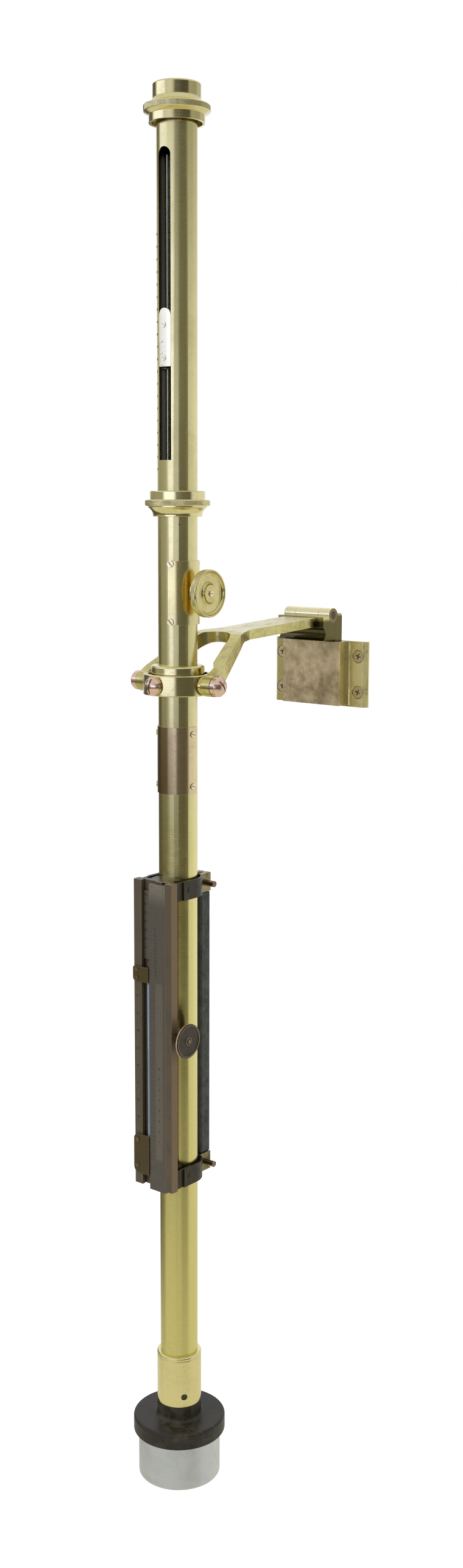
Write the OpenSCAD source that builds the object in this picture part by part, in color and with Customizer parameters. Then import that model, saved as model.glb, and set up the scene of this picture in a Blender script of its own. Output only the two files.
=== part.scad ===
// Ship's barometer of the Kew pattern: a long brass tube hung in gimbals from a hinged fork arm,
// with a correction slide clamped to its lower half and an iron cistern at its foot.
// The origin is the middle of the wall plate's back face, +Y goes into the wall and +Z is up.
// Heights named *_z are measured up from the gimbal axis unless the comment says otherwise.

/* [Case tube] */
// Outside diameter of the brass case tube
tube_d = 25.4; // [25:0.1:26]
// Wall of the case tube
tube_wall = 1.0; // [0.8:0.1:1.1]
// Upper end of the case tube, inside the cap
tube_top_z = 361; // [358:1:363]
// Lower end of the case tube, inside the cistern sleeve
tube_bottom_z = -486; // [-488:1:-480]
// Width of the front and rear scale slots
slot_w = 9.8; // [8:0.1:10.5]
// Rounded upper end of the scale slots
slot_top_z = 328.7; // [310:1:330]
// Square lower end of the scale slots
slot_bottom_z = 141.4; // [130:1:150]

/* [Cap] */
// Top face of the cap
cap_top_z = 367; // [366:0.5:372]
// Diameter of the cap's plain upper part
cap_d = 30.1; // [29:0.1:34]
// Diameter of the cap's milled flange
cap_flange_d = 41.2; // [40:0.2:46]
// Upper edge of the milled flange
cap_flange_z = 354.4; // [353:0.2:356]
// Thickness of the milled flange
cap_flange_t = 4.4; // [3:0.1:5]
// Outside diameter of the skirt below the flange
skirt_d = 34.8; // [34:0.1:38]
// Wall of the skirt
skirt_wall = 1.6; // [1:0.1:2]
// Lower edge of the skirt
skirt_z = 343.8; // [341:0.2:346]

/* [Middle flange] */
// Upper face of the middle flange
mid_top_z = 122.4; // [120:0.2:126]
// Diameter of its plain upper part
mid_d = 35.2; // [34:0.1:38]
// Diameter of its milled ring
mid_ring_d = 41.2; // [40:0.2:46]
// Thickness of the milled ring
mid_ring_t = 3.8; // [3:0.1:5]

/* [Gimbal] */
// Outside diameter of the collar on the case tube
collar_d = 34.6; // [33:0.1:35]
// Height of the collar above the gimbal axis
collar_top_z = 12.1; // [10:0.1:12.2]
// Outside diameter of the gimbal ring
ring_d = 45; // [44.5:0.1:46]
// Inside diameter of the gimbal ring
ring_bore_d = 38.8; // [38.4:0.1:39.2]
// Height of the gimbal ring
ring_h = 13.2; // [12:0.1:13.4]
// Diameter of the outer pivot shanks, along X
outer_pivot_d = 6; // [4:0.1:7]
// Diameter of the outer pivot heads
outer_head_d = 12.7; // [9:0.1:13]
// Diameter of the inner pivot shanks, along Y
inner_pivot_d = 5.2; // [4:0.1:6]
// Diameter of the inner pivot heads
inner_head_d = 12; // [9:0.1:12.6]
// Height of the gimbal axis above the wall plate's centre
pivot_above_mount = 3.9; // [0:0.1:8]

/* [Fork arm] */
// Distance from the tube axis to the hinge pin
arm_reach = 143.8; // [135:0.2:160]
// Height of the hinge pin above the gimbal axis
pin_z = 37.8; // [36:0.1:40]
// Diameter of the hinge pin
pin_d = 5.5; // [4:0.1:6]
// Diameter of the hinge knuckles
knuckle_d = 9.8; // [9:0.1:10.4]
// Length of the three knuckles together
barrel_l = 39.6; // [38:0.2:40]
// Length of the middle knuckle
mid_knuckle_l = 19.8; // [16:0.2:22]
// Width of the arm's stem
stem_w = 27.6; // [24:0.2:30]
// Thickness of the arm
stem_t = 6.4; // [5:0.1:7]
// Outside width across the fork's bosses
fork_w = 62.8; // [62:0.2:66]
// Width of each boss
boss_t = 6.9; // [6.5:0.1:7.2]
// Diameter of the bosses
boss_d = 13.4; // [13:0.1:14.5]
// Drop of the stem from the hinge to the fork, in degrees
stem_slope = 3.7; // [3:0.1:5]

/* [Wall bracket] */
// Distance from the wall to the hinge pin
pin_to_wall = 14.9; // [14.9:0.1:16]
// Width of the wall plate
plate_w = 81.4; // [81:0.2:90]
// Height of the wall plate
plate_h = 46.5; // [44:0.5:52]
// Thickness of the wall plate
plate_t = 4; // [3:0.1:4]
// Bevel on the two ends of the wall plate
plate_bevel = 3; // [1:0.1:3]
// Outside width of the pocket
pocket_w = 49.6; // [48:0.2:52]
// Height of the pocket
pocket_h = 45.3; // [42:0.1:46]
// Front wall of the pocket
pocket_wall = 1.6; // [1.2:0.1:3]
// Floor of the pocket
pocket_floor = 2.4; // [2:0.1:5]
// Spacing of the wall screws across
screw_dx = 67; // [66:0.5:69]
// Spacing of the wall screws up and down
screw_dz = 25.5; // [20:0.5:32]
// Shank diameter of the wall screws
screw_d = 4.2; // [3.5:0.1:4.4]
// Length of the wall screws that stands out behind the plate
screw_out = 6; // [4:0.5:20]

/* [Vernier] */
// Rounded upper end of the vernier plate
vernier_top_z = 233.7; // [230:0.1:236]
// Lower, sighting edge of the vernier
vernier_z = 198.5; // [196:0.1:202]
// Travel of the vernier up from rest
vernier_up = 92; // [80:1:92]
// Travel of the vernier down from rest
vernier_down = 54; // [40:1:54]
// Height of the vernier's pinion
vernier_knob_z = 58.6; // [56:0.2:62]
// Diameter of the vernier knob
vernier_knob_d = 30; // [26:0.5:34]
// Thickness of the vernier knob's rim
vernier_knob_t = 5.7; // [4.5:0.1:6.5]
// Outer face of the vernier knob from the tube axis
vernier_knob_x = 27.7; // [27:0.1:30]
// Module of the vernier rack and pinion
vernier_module = 0.5; // [0.5:0.01:0.51]

/* [Plates on the tube] */
// Height of the pinion saddle
saddle_h = 40.2; // [38:0.2:42]
// Thickness of the pinion saddle
saddle_t = 1.4; // [1:0.1:1.6]
// Upper edge of the data plate
data_top_z = -27.4; // [-30:0.2:-24]
// Height of the data plate
data_h = 43.6; // [38:0.2:48]
// Thickness of the data plate
data_t = 0.7; // [0.5:0.1:1]

/* [Correction slide] */
// Upper end of the slide body
slide_top_z = -127.1; // [-130:0.2:-124]
// Length of the slide body
slide_l = 209.5; // [206:0.5:214]
// Width of the slide body
slide_w = 33; // [32.6:0.1:33.6]
// Front face of the slide body from the tube axis
slide_front = 25.5; // [25.2:0.1:25.8]
// Back face of the slide body from the tube axis
slide_back = 20.2; // [20:0.1:20.4]
// Floor of the body's channel from the tube axis
slide_floor = 22; // [21.8:0.1:22.2]
// Left edge of the moving plate, left of the middle
plate_left = 3.4; // [3.3:0.1:3.6]
// Right edge of the moving plate, right of the middle
plate_right = 10.5; // [10.4:0.1:10.6]
// Travel of the moving plate each way
slide_travel = 30; // [20:1:32]
// Height of the slide's pinion
slide_knob_z = -230.6; // [-234:0.2:-228]
// Diameter of the slide knob
slide_knob_d = 22.8; // [20:0.2:24]
// Outer face of the slide knob from the tube axis
slide_knob_x = 26.5; // [26:0.1:30]
// Module of the slide's rack and pinion
slide_module = 0.4; // [0.4:0.005:0.41]
// Upper end of the index scale
index_top_z = -134.5; // [-137:0.2:-134]
// Length of the index scale
index_l = 45.9; // [44:0.1:46]

/* [Clamps and balance bar] */
// Height of each clamp band
band_h = 12.5; // [11:0.1:13]
// Thickness of the clamp bands
band_t = 1.3; // [1:0.1:1.4]
// Outside radius of the clamp bands
band_r = 15.9; // [15.8:0.1:16.4]
// Width of the clamp lugs and of the bar
bar_w = 9.8; // [9:0.1:10.5]
// Gap between the two lugs of a clamp
lug_gap = 1.2; // [0.8:0.1:1.6]
// Height of the clamp lugs
lug_h = 12.6; // [12:0.1:13.5]
// Diameter of the clamp screws
clamp_screw_d = 4; // [3:0.1:4.4]

/* [Cistern] */
// Upper end of the brass sleeve
sleeve_top_z = -462.6; // [-466:0.2:-460]
// Diameter of the brass sleeve and of the neck below it
sleeve_d = 30.3; // [30:0.1:32]
// Lower end of the brass sleeve
sleeve_z = -498.7; // [-500:0.2:-497]
// Top of the ebonite flange
lid_top_z = -509.8; // [-511:0.2:-508]
// Diameter of the ebonite flange
lid_d = 63.3; // [62:0.1:66]
// Underside of the ebonite flange
lid_z = -520.9; // [-522:0.2:-520]
// Diameter of the iron cup
cup_d = 56.4; // [55:0.1:58]
// Foot of the iron cup
cup_z = -553; // [-556:0.5:-550]
// Wall of the iron cup
cup_wall = 2.2; // [2:0.1:3]

/* [Fits] */
// Running clearance of pins and shafts, on the radius
run = 0.05; // [0.03:0.01:0.08]
// Gap between faces that stay together
seat = 0.02; // [0.01:0.01:0.04]

/* [Hidden] */
$fn = 64;
eps = 0.01;

tube_r = tube_d / 2;
bore_r = tube_r - tube_wall;
tube_y = -(arm_reach + pin_to_wall);
front_az = -90;
view_az = -49;

module on_tube() translate([0, tube_y, pivot_above_mount]) children();

// Puts a part with its foot at the origin and its axis along +Z on the tube at a bearing and height
module radial(az, z, r) rotate([0, 0, az]) translate([r, 0, z]) rotate([0, 90, 0]) children();

// Flat ring or tube standing on z = 0
module ring(outer_r, inner_r, h) difference() {
    cylinder(r = outer_r, h = h);
    translate([0, 0, -1]) cylinder(r = inner_r, h = h + 2);
}

// Slotted cheese-head screw: head above z = 0, shank below
module cheese_screw(head_d, head_h, shank_d, shank_l, turn = 0) difference() {
    union() {
        cylinder(d = head_d, h = head_h);
        translate([0, 0, -shank_l]) cylinder(d = shank_d, h = shank_l + eps);
    }
    rotate(turn) translate([-head_d, -head_d * 0.075, head_h * 0.45])
        cube([2 * head_d, head_d * 0.15, head_h]);
}

// Slotted pivot screw with a domed head above z = 0 and a plain shank below
module dome_screw(head_d, rim_h, dome_h, shank_d, shank_l, turn = 0) {
    head_r = head_d / 2;
    ball_r = (head_r * head_r + dome_h * dome_h) / (2 * dome_h);
    difference() {
        union() {
            intersection() {
                cylinder(r = head_r, h = rim_h + dome_h);
                translate([0, 0, rim_h + dome_h - ball_r]) sphere(r = ball_r, $fn = 96);
            }
            translate([0, 0, -shank_l]) cylinder(d = shank_d, h = shank_l + eps);
        }
        rotate(turn) translate([-head_d, -0.55, rim_h + dome_h - 2]) cube([2 * head_d, 1.1, 3]);
    }
}

// A band bent round the tube: a sector of a ring, half_angle either side of the bearing
module bent_plate(inner_r, t, h, az, half_angle) rotate([0, 0, az]) difference() {
    far = 60;
    ring(inner_r + t, inner_r, h);
    translate([0, 0, -1]) linear_extrude(h + 2) polygon([
        [0, 0], [far * cos(half_angle), far * sin(half_angle)], [-far, far], [-far, -far],
        [far * cos(half_angle), -far * sin(half_angle)]]);
}

// Rounds the upper edge of a bar of radius r, in a half section for rotate_extrude
module corner_cut(r, z, fillet) translate([r - fillet, z - fillet]) difference() {
    square(fillet + 1);
    circle(r = fillet);
}

// Wall bracket

pocket_y = -pin_to_wall + knuckle_d / 2 - 4;
leaf_front = pin_d / 2 - 0.25;
leaf_t = 7.9;
pocket_top_z = 23.1;
pocket_in_w = barrel_l + 0.7;
cavity_front = -pin_to_wall + leaf_front - 0.1;
cavity_back = cavity_front + leaf_t + 0.25;
screw_head_r = 4.2;
countersink_r = 4.9;
screw_neck_r = screw_d / 2 + 0.2;

module wall_bracket() color("darkkhaki") difference() {
    union() {
        translate([0, 0, -plate_h / 2]) linear_extrude(plate_h) polygon([
            [-plate_w / 2, 0], [plate_w / 2, 0], [plate_w / 2, -plate_t + plate_bevel],
            [plate_w / 2 - plate_bevel, -plate_t], [-plate_w / 2 + plate_bevel, -plate_t],
            [-plate_w / 2, -plate_t + plate_bevel]]);
        translate([0, 0, pocket_top_z - pocket_h]) linear_extrude(pocket_h) pocket_outline();
    }
    translate([-pocket_in_w / 2, cavity_front, pocket_top_z - pocket_h + pocket_floor])
        cube([pocket_in_w, cavity_back - cavity_front, pocket_h]);
    wall_screw_places() {
        translate([0, 1, 0]) rotate([90, 0, 0]) cylinder(r = screw_neck_r + seat, h = plate_t + 2);
        translate([0, -plate_t - eps, 0]) rotate([-90, 0, 0])
            cylinder(r1 = countersink_r, r2 = screw_neck_r + seat, h = countersink_r - screw_neck_r);
    }
}

// Plan of the pocket, with a hollow fillet where each side meets the plate
module pocket_outline() {
    fillet = 3;
    front = cavity_front - pocket_wall;
    translate([-pocket_w / 2, front]) square([pocket_w, -plate_t - front + eps]);
    for (s = [-1, 1]) difference() {
        translate([s > 0 ? pocket_w / 2 - eps : -pocket_w / 2 - fillet, -plate_t - fillet])
            square([fillet + eps, fillet + eps]);
        translate([s * (pocket_w / 2 + fillet), -plate_t - fillet]) circle(r = fillet);
    }
}

module wall_screw_places() for (sx = [-1, 1], sz = [-1, 1])
    translate([sx * screw_dx / 2, 0, sz * screw_dz / 2]) children();

// Countersunk screws with a plain neck in the plate and a thinner threaded end behind it
module wall_screws() color("goldenrod") wall_screw_places() {
    head_h = screw_head_r - screw_neck_r;
    sunk = countersink_r - screw_head_r - 1.5 * seat;
    difference() {
        translate([0, -plate_t + sunk, 0]) rotate([-90, 0, 0]) union() {
            cylinder(r1 = screw_head_r, r2 = screw_neck_r, h = head_h);
            cylinder(r = screw_neck_r, h = plate_t - sunk);
            cylinder(d = screw_d, h = plate_t - sunk + screw_out);
        }
        for (turn = [20, 110]) rotate([0, turn, 0]) translate([-2.1, -plate_t - 1, -0.45])
            cube([4.2, 1 + sunk + 1.3, 0.9]);
    }
}

// Hinge leaf and fork arm, drawn from the hinge pin or from the gimbal axis

pin_r = pin_d / 2;
knuckle_r = knuckle_d / 2;
knuckle_gap = 0.25;
side_gap = 0.1;
leaf_foot_z = pocket_top_z - pocket_h + pocket_floor + 0.05;
leaf_top = 1.4;

module on_pin() translate([0, -pin_to_wall, pin_z + pivot_above_mount]) children();

// Cylinder along X, centred on the pin
module across(r, l) rotate([0, 90, 0]) cylinder(r = r, h = l, center = true);

module hinge_leaf() color("darkkhaki") on_pin() difference() {
    foot = leaf_foot_z - pin_z - pivot_above_mount;
    union() {
        difference() {
            translate([-barrel_l / 2, 0, 0]) rotate([90, 0, 90]) linear_extrude(barrel_l) difference() {
                translate([leaf_front, foot]) square([leaf_t, leaf_top - foot]);
                translate([leaf_front + leaf_t - 3, leaf_top - 3]) difference() {
                    square(3.1);
                    circle(r = 3);
                }
            }
            across(knuckle_r + knuckle_gap, barrel_l + 2);
        }
        across(knuckle_r, mid_knuckle_l);
        translate([-mid_knuckle_l / 2, 0, -knuckle_r + 1.2]) cube([mid_knuckle_l, leaf_front + 4, 4.4]);
    }
    across(pin_r + run, barrel_l + 2);
}

module hinge_pin() color("rosybrown") on_pin() across(pin_r, barrel_l);

heel_back = leaf_front - 0.1;
heel_front = -11.9;
heel_foot = -17.4;
stem_top = -0.7;
root_y = arm_reach - 52;
crotch_y = 44;
crotch_r = 15.5;
boss_in = fork_w / 2 - boss_t;
boss_r = boss_d / 2;

// Side view of the arm (Y from the tube axis, Z from the gimbal axis)
module arm_side() {
    top_at_heel = pin_z + stem_top;
    bend_y = 39;
    bend_z = top_at_heel - (arm_reach - bend_y) * tan(stem_slope) * 0.92;
    polygon([
        [arm_reach, top_at_heel], [bend_y + 8, bend_z + 0.5], [bend_y, bend_z - 0.6],
        [-boss_r * 0.3, boss_r * 0.9], [-boss_r * 0.5, 0], [0, -boss_r * 0.8], [boss_r * 0.85, -boss_r * 0.5],
        [bend_y + 3.5, bend_z - stem_t - 1], [bend_y + 7, bend_z - stem_t + 0.4],
        [arm_reach, top_at_heel - stem_t]]);
}

// Plan of the arm: a straight stem, the round crotch and two spreading prongs
module arm_plan() difference() {
    union() {
        translate([-stem_w / 2, crotch_y]) square([stem_w, arm_reach - crotch_y]);
        polygon([[-stem_w / 2, 57], [-fork_w / 2 + 10, 38], [-fork_w / 2, 4], [-fork_w / 2, -boss_r - 1],
                 [fork_w / 2, -boss_r - 1], [fork_w / 2, 4], [fork_w / 2 - 10, 38], [stem_w / 2, 57]]);
    }
    translate([0, crotch_y - crotch_r]) circle(r = crotch_r);
    polygon([[-crotch_r, crotch_y - crotch_r], [-boss_in + 4.2, boss_r + 4.6], [-boss_in, boss_r + 0.8],
             [-boss_in, -boss_r - 2], [boss_in, -boss_r - 2], [boss_in, boss_r + 0.8],
             [boss_in - 4.2, boss_r + 4.6], [crotch_r, crotch_y - crotch_r]]);
    for (s = [-1, 1]) translate([s * (stem_w / 2 + 7), 63.5]) circle(r = 7);
}

module fork_arm() color("darkkhaki") difference() {
    union() {
        on_tube() {
            intersection() {
                translate([-fork_w, 0, 0]) rotate([90, 0, 90]) linear_extrude(2 * fork_w) arm_side();
                translate([0, 0, -boss_r - 1]) linear_extrude(80) arm_plan();
            }
            for (s = [-1, 1]) translate([s * (boss_in + boss_t / 2), 0, 0]) across(boss_r, boss_t);
        }
        on_pin() {
            translate([-barrel_l / 2, 0, 0]) rotate([90, 0, 90]) linear_extrude(barrel_l) heel_side();
            across(knuckle_r, barrel_l);
        }
    }
    on_pin() {
        across(pin_r + seat, barrel_l + 2);
        across(knuckle_r + knuckle_gap, mid_knuckle_l + 2 * side_gap);
        translate([-mid_knuckle_l / 2 - side_gap, 0, -knuckle_r - knuckle_gap + 1.2])
            cube([mid_knuckle_l + 2 * side_gap, 12, 12]);
    }
    on_tube() across(outer_pivot_d / 2 + seat, fork_w + 2);
}

// Heel that bears on the leaf and stops the arm, with a hollow under the stem
module heel_side() difference() {
    translate([heel_front, heel_foot]) square([heel_back - heel_front, stem_top - heel_foot]);
    translate([heel_front - 2.2, heel_foot + 4.4]) circle(r = 5);
}

module outer_pivot_screws() color("lightsalmon") on_tube() for (s = [-1, 1])
    rotate([0, s * 90, 0]) translate([0, 0, fork_w / 2 + seat])
        dome_screw(outer_head_d, 3.6, 3.8, outer_pivot_d, fork_w / 2 - ring_bore_d / 2 - 0.4, 35);

// Gimbal ring and collar

ring_pad_r = 6;
ring_pad_out = boss_in - 0.3;

module gimbal_ring() color("gold") on_tube() difference() {
    union() {
        translate([0, 0, -ring_h / 2]) rotate_extrude() difference() {
            translate([ring_bore_d / 2, 0]) square([(ring_d - ring_bore_d) / 2, ring_h]);
            corner_cut(ring_d / 2, ring_h, 0.6);
            mirror([0, 1]) corner_cut(ring_d / 2, 0, 0.6);
        }
        for (s = [-1, 1]) translate([s * (ring_pad_out + ring_bore_d / 2) / 2, 0, 0])
            across(ring_pad_r, ring_pad_out - ring_bore_d / 2);
    }
    cylinder(d = ring_bore_d, h = ring_h + 2, center = true);
    across(outer_pivot_d / 2 + run, ring_d + 20);
    rotate([0, 0, 90]) across(inner_pivot_d / 2 + seat, ring_d + 20);
}

inner_pivot_in = tube_r + 1.3;

module inner_pivot_screws() color("lightsalmon") on_tube() for (s = [-1, 1])
    rotate([-s * 90, 0, 0]) translate([0, 0, ring_d / 2 + seat])
        dome_screw(inner_head_d, 2.8, 3, inner_pivot_d, ring_d / 2 - inner_pivot_in, 90 + 8 * s);

module gimbal_collar() color("gold") on_tube() difference() {
    foot = -ring_h / 2;
    rotate_extrude() difference() {
        translate([tube_r + seat, foot]) square([collar_d / 2 - tube_r - seat, collar_top_z - foot]);
        corner_cut(collar_d / 2, collar_top_z, 1.5);
    }
    for (s = [-1, 1]) rotate([s * 90, 0, 0]) translate([0, 0, inner_pivot_in - 0.2])
        cylinder(d = inner_pivot_d + 2 * run, h = collar_d);
}

// Case tube and the pieces fixed to it

pinion_hole_r = 4;
saddle_screw_d = 2.2;
saddle_screw_az = 68;
saddle_screw_dz = 36.6;
data_az = -78;
data_half = 94;
data_screw_az = 74;
data_screw_dz = 34;
cushion_top_z = 345;
cushion_h = 8;
cushion_play = 0.1;
cushion_rise = [16, 186, 374];
cushion_screw_z = 343.6;
cushion_screw_d = 1.4;

module saddle_screw_places() for (sa = [-1, 1], sz = [-1, 1])
    radial(sa * saddle_screw_az, vernier_knob_z + sz * saddle_screw_dz / 2, tube_r + saddle_t) children();

module data_screw_places() for (sa = [-1, 1], sz = [-1, 1])
    radial(data_az + sa * data_screw_az, data_top_z - data_h / 2 + sz * data_screw_dz / 2,
           tube_r + data_t) children();

module cushion_screw_places() for (k = [0:2])
    radial(view_az + 7 + 120 * k, cushion_screw_z, tube_r) children();

module case_tube() color("palegoldenrod") on_tube() difference() {
    translate([0, 0, tube_bottom_z]) ring(tube_r, bore_r, tube_top_z - tube_bottom_z);
    for (s = [0, 180]) rotate([0, 0, s]) {
        translate([-slot_w / 2, -tube_r - 1, slot_bottom_z])
            cube([slot_w, tube_r, slot_top_z - slot_w / 2 - slot_bottom_z]);
        translate([0, -1, slot_top_z - slot_w / 2]) rotate([90, 0, 0]) cylinder(d = slot_w, h = tube_r);
    }
    radial(0, vernier_knob_z, tube_r - 3) cylinder(r = pinion_hole_r + seat, h = 5);
    radial(view_az + 5, 101.6, tube_r - 3) cylinder(r = 0.45, h = 5);
    saddle_screw_places() translate([0, 0, -6]) cylinder(d = saddle_screw_d + 2 * seat, h = 8);
    data_screw_places() translate([0, 0, -6]) cylinder(d = saddle_screw_d + 2 * seat, h = 8);
    cushion_screw_places() translate([0, 0, -3]) cylinder(d = cushion_screw_d + 2 * seat, h = 5);
}

module top_cap() color("gold") on_tube() rotate_extrude() {
    flange_z = cap_flange_z - cap_flange_t;
    cove = 4.5;
    difference() {
        polygon([[0, cap_top_z], [cap_d / 2, cap_top_z], [cap_d / 2, cap_flange_z + cove],
                 [cap_d / 2 + cove, cap_flange_z + cove], [cap_d / 2 + cove, cap_flange_z],
                 [cap_flange_d / 2, cap_flange_z], [cap_flange_d / 2, flange_z],
                 [cap_flange_d / 2 - 0.6, flange_z], [skirt_d / 2, flange_z - 1.4],
                 [skirt_d / 2, skirt_z], [0, skirt_z]]);
        corner_cut(cap_d / 2, cap_top_z, 1.2);
        translate([cap_d / 2 + cove, cap_flange_z + cove]) circle(r = cove);
        corner_cut(cap_flange_d / 2, cap_flange_z, 0.7);
        mirror([0, 1]) translate([0, -2 * flange_z]) corner_cut(cap_flange_d / 2, flange_z, 0.7);
        translate([-1, skirt_z - 1]) square([skirt_d / 2 - skirt_wall + 1, flange_z - skirt_z - 0.6]);
        translate([-1, skirt_z - 1]) square([tube_r + seat + 1, tube_top_z - skirt_z + 1.02]);
    }
}

module cushion_screws() color("goldenrod") on_tube() cushion_screw_places()
    cheese_screw(2.2, 0.6, cushion_screw_d, 3.5);

module middle_flange() color("gold") on_tube() rotate_extrude() {
    ring_top = mid_top_z - 5.5;
    ring_foot = ring_top - mid_ring_t;
    lower_r = mid_d / 2 + 1.3;
    cove = 5.8;
    foot = ring_foot - cove - 0.8;
    foot_r = mid_d / 2 - 1.8;
    difference() {
        union() {
            translate([0, ring_top - 1]) square([mid_d / 2, mid_top_z - ring_top + 1]);
            translate([0, ring_foot]) square([mid_ring_d / 2, mid_ring_t]);
            translate([0, foot]) square([lower_r, ring_foot - foot + eps]);
        }
        translate([0, foot - 1]) square([tube_r + seat, 60]);
        translate([foot_r + cove, foot + 0.6]) circle(r = cove);
        corner_cut(mid_ring_d / 2, ring_top, 0.6);
        mirror([0, 1]) translate([0, -2 * ring_foot]) corner_cut(mid_ring_d / 2, ring_foot, 0.6);
        corner_cut(mid_d / 2, mid_top_z, 0.5);
        translate([tube_r + 1.4, mid_top_z - 3.5]) square([1.8, 5]);
    }
}

module pinion_saddle() color("palegoldenrod") on_tube() difference() {
    translate([0, 0, vernier_knob_z - saddle_h / 2])
        bent_plate(tube_r + seat, saddle_t - seat, saddle_h, 0, 76);
    radial(0, vernier_knob_z, tube_r - 3) cylinder(r = pinion_hole_r + seat, h = 8);
    saddle_screw_places() translate([0, 0, -6]) cylinder(d = saddle_screw_d + 2 * seat, h = 8);
}

module saddle_screws() color("goldenrod") on_tube() saddle_screw_places()
    translate([0, 0, seat]) cheese_screw(4.1, 0.9, saddle_screw_d, saddle_t + tube_wall - 0.2, 40);

// Flanged bush that carries the vernier's pinion shaft through the saddle
module pinion_bush() color("gold") on_tube() difference() {
    union() {
        radial(0, vernier_knob_z, bore_r - 1) cylinder(r = pinion_hole_r, h = saddle_t + tube_wall + 3);
        radial(0, vernier_knob_z, tube_r + saddle_t + seat) cylinder(r = 5.2, h = 3);
    }
    radial(0, vernier_knob_z, 0) cylinder(r = shaft_r + run, h = 40);
}

module data_plate() color("rosybrown") on_tube() difference() {
    translate([0, 0, data_top_z - data_h])
        bent_plate(tube_r + seat, data_t - seat, data_h, data_az, data_half);
    data_screw_places() translate([0, 0, -6]) cylinder(d = saddle_screw_d + 2 * seat, h = 8);
}

module data_plate_screws() color("goldenrod") on_tube() data_screw_places()
    translate([0, 0, seat]) cheese_screw(3.8, 0.9, saddle_screw_d, data_t + tube_wall - 0.2, 70);

// Glass tube, mercury and cushions

glass_r = 6.5;
glass_bore_r = 4.2;
stem_glass_r = 3.6;
stem_bore_r = 1.6;
glass_neck_z = 118;
glass_top_z = 349;
glass_foot_z = cup_z + 8;
mercury_top_z = vernier_z;
mercury_pool_z = lid_z - 11;

// Half section of the glass, or of what fills it, with a conical neck between the two bores
module tube_profile(wide_r, thin_r, foot, top) polygon([
    [0, foot], [thin_r, foot], [thin_r, glass_neck_z - 10], [wide_r, glass_neck_z], [wide_r, top], [0, top]]);

module glass_tube() color([0.8, 0.9, 0.9, 0.5]) on_tube() rotate_extrude() difference() {
    union() {
        tube_profile(glass_r, stem_glass_r, glass_foot_z, glass_top_z - glass_r);
        intersection() {
            translate([0, glass_top_z - glass_r]) circle(r = glass_r);
            translate([0, glass_top_z - glass_r]) square(glass_r);
        }
    }
    tube_profile(glass_bore_r, stem_bore_r, glass_foot_z - 1, glass_top_z - glass_r);
}

module mercury() color("silver") on_tube() rotate_extrude() {
    gap = 0.03;
    tube_profile(glass_bore_r - gap, stem_bore_r - gap, cup_z + cup_floor + gap, mercury_top_z);
    difference() {
        translate([0, cup_z + cup_floor + gap])
            square([cup_d / 2 - cup_wall - gap, mercury_pool_z - cup_z - cup_floor - gap]);
        translate([0, glass_foot_z - gap]) square([stem_glass_r + gap, 60]);
    }
}

module tube_cushions() color("peru") on_tube() {
    difference() {
        translate([0, 0, cushion_top_z - cushion_h]) ring(bore_r - cushion_play, glass_r + seat, cushion_h);
        cushion_screw_places() translate([0, 0, -4]) cylinder(d = cushion_screw_d + 2 * seat, h = 6);
    }
    for (rise = cushion_rise) translate([0, 0, tube_bottom_z + rise])
        ring(bore_r - cushion_play, stem_glass_r + seat, cushion_h);
}

// Cistern

lid_spigot_r = tube_r + 0.3;
lid_spigot_top = tube_bottom_z - 1;
cup_floor = 3;
washer_t = 0.8;
cup_spigot_h = 6;
sleeve_screw_z = -491.2;
sleeve_screw_az = view_az + 13;
sleeve_screw_d = 4.4;
sleeve_screw_core_d = 2.9;

module cistern_sleeve() color("gold") on_tube() difference() {
    rotate_extrude() difference() {
        translate([tube_r + seat, sleeve_z]) square([sleeve_d / 2 - tube_r - seat, sleeve_top_z - sleeve_z]);
        translate([0, sleeve_z - 1]) square([lid_spigot_r + seat, lid_spigot_top - sleeve_z + 1.3]);
        corner_cut(sleeve_d / 2, sleeve_top_z, 1.1);
        translate([sleeve_d / 2, sleeve_top_z - 2.6]) circle(r = 0.4);
    }
    radial(sleeve_screw_az, sleeve_screw_z, tube_r - 1) cylinder(d = sleeve_screw_d, h = 6);
}

module sleeve_set_screw() color("goldenrod") on_tube() radial(sleeve_screw_az, sleeve_screw_z, tube_r + 0.9) {
    r = sleeve_screw_d / 2 - seat;
    difference() {
        cylinder(r = r, h = 0.9);
        rotate(50) translate([-3, -0.3, 0.4]) cube([6, 0.6, 1]);
    }
    translate([0, 0, -1.8]) cylinder(d = sleeve_screw_core_d, h = 1.8 + eps);
}

module cistern_lid() color([0.16, 0.12, 0.1]) on_tube() difference() {
    lid_body();
    radial(sleeve_screw_az, sleeve_screw_z, tube_r - 1) cylinder(d = sleeve_screw_core_d + 2 * seat, h = 2);
}

module lid_body() rotate_extrude() {
    fillet = 2.5;
    neck_r = sleeve_d / 2;
    difference() {
        union() {
            translate([0, lid_z]) square([neck_r, sleeve_z - seat - lid_z]);
            translate([0, lid_z]) square([lid_d / 2, lid_top_z - lid_z]);
            translate([neck_r - eps, lid_top_z - eps]) square(fillet);
            translate([0, sleeve_z - 1]) square([lid_spigot_r, lid_spigot_top - sleeve_z + 1]);
            translate([0, lid_z - cup_spigot_h]) square([cup_d / 2 - cup_wall - seat, cup_spigot_h + eps]);
        }
        translate([neck_r + fillet, lid_top_z + fillet]) circle(r = fillet);
        corner_cut(lid_d / 2, lid_top_z, 1.6);
        mirror([0, 1]) translate([0, -2 * lid_z]) corner_cut(lid_d / 2, lid_z, 0.8);
        translate([-1, lid_z - 40]) square([stem_glass_r + seat + 1, 80]);
    }
}

module lid_washer() color("saddlebrown") on_tube()
    translate([0, 0, lid_z - washer_t]) ring(cup_d / 2 - 0.3, cup_d / 2 - cup_wall + seat, washer_t - seat);

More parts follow.
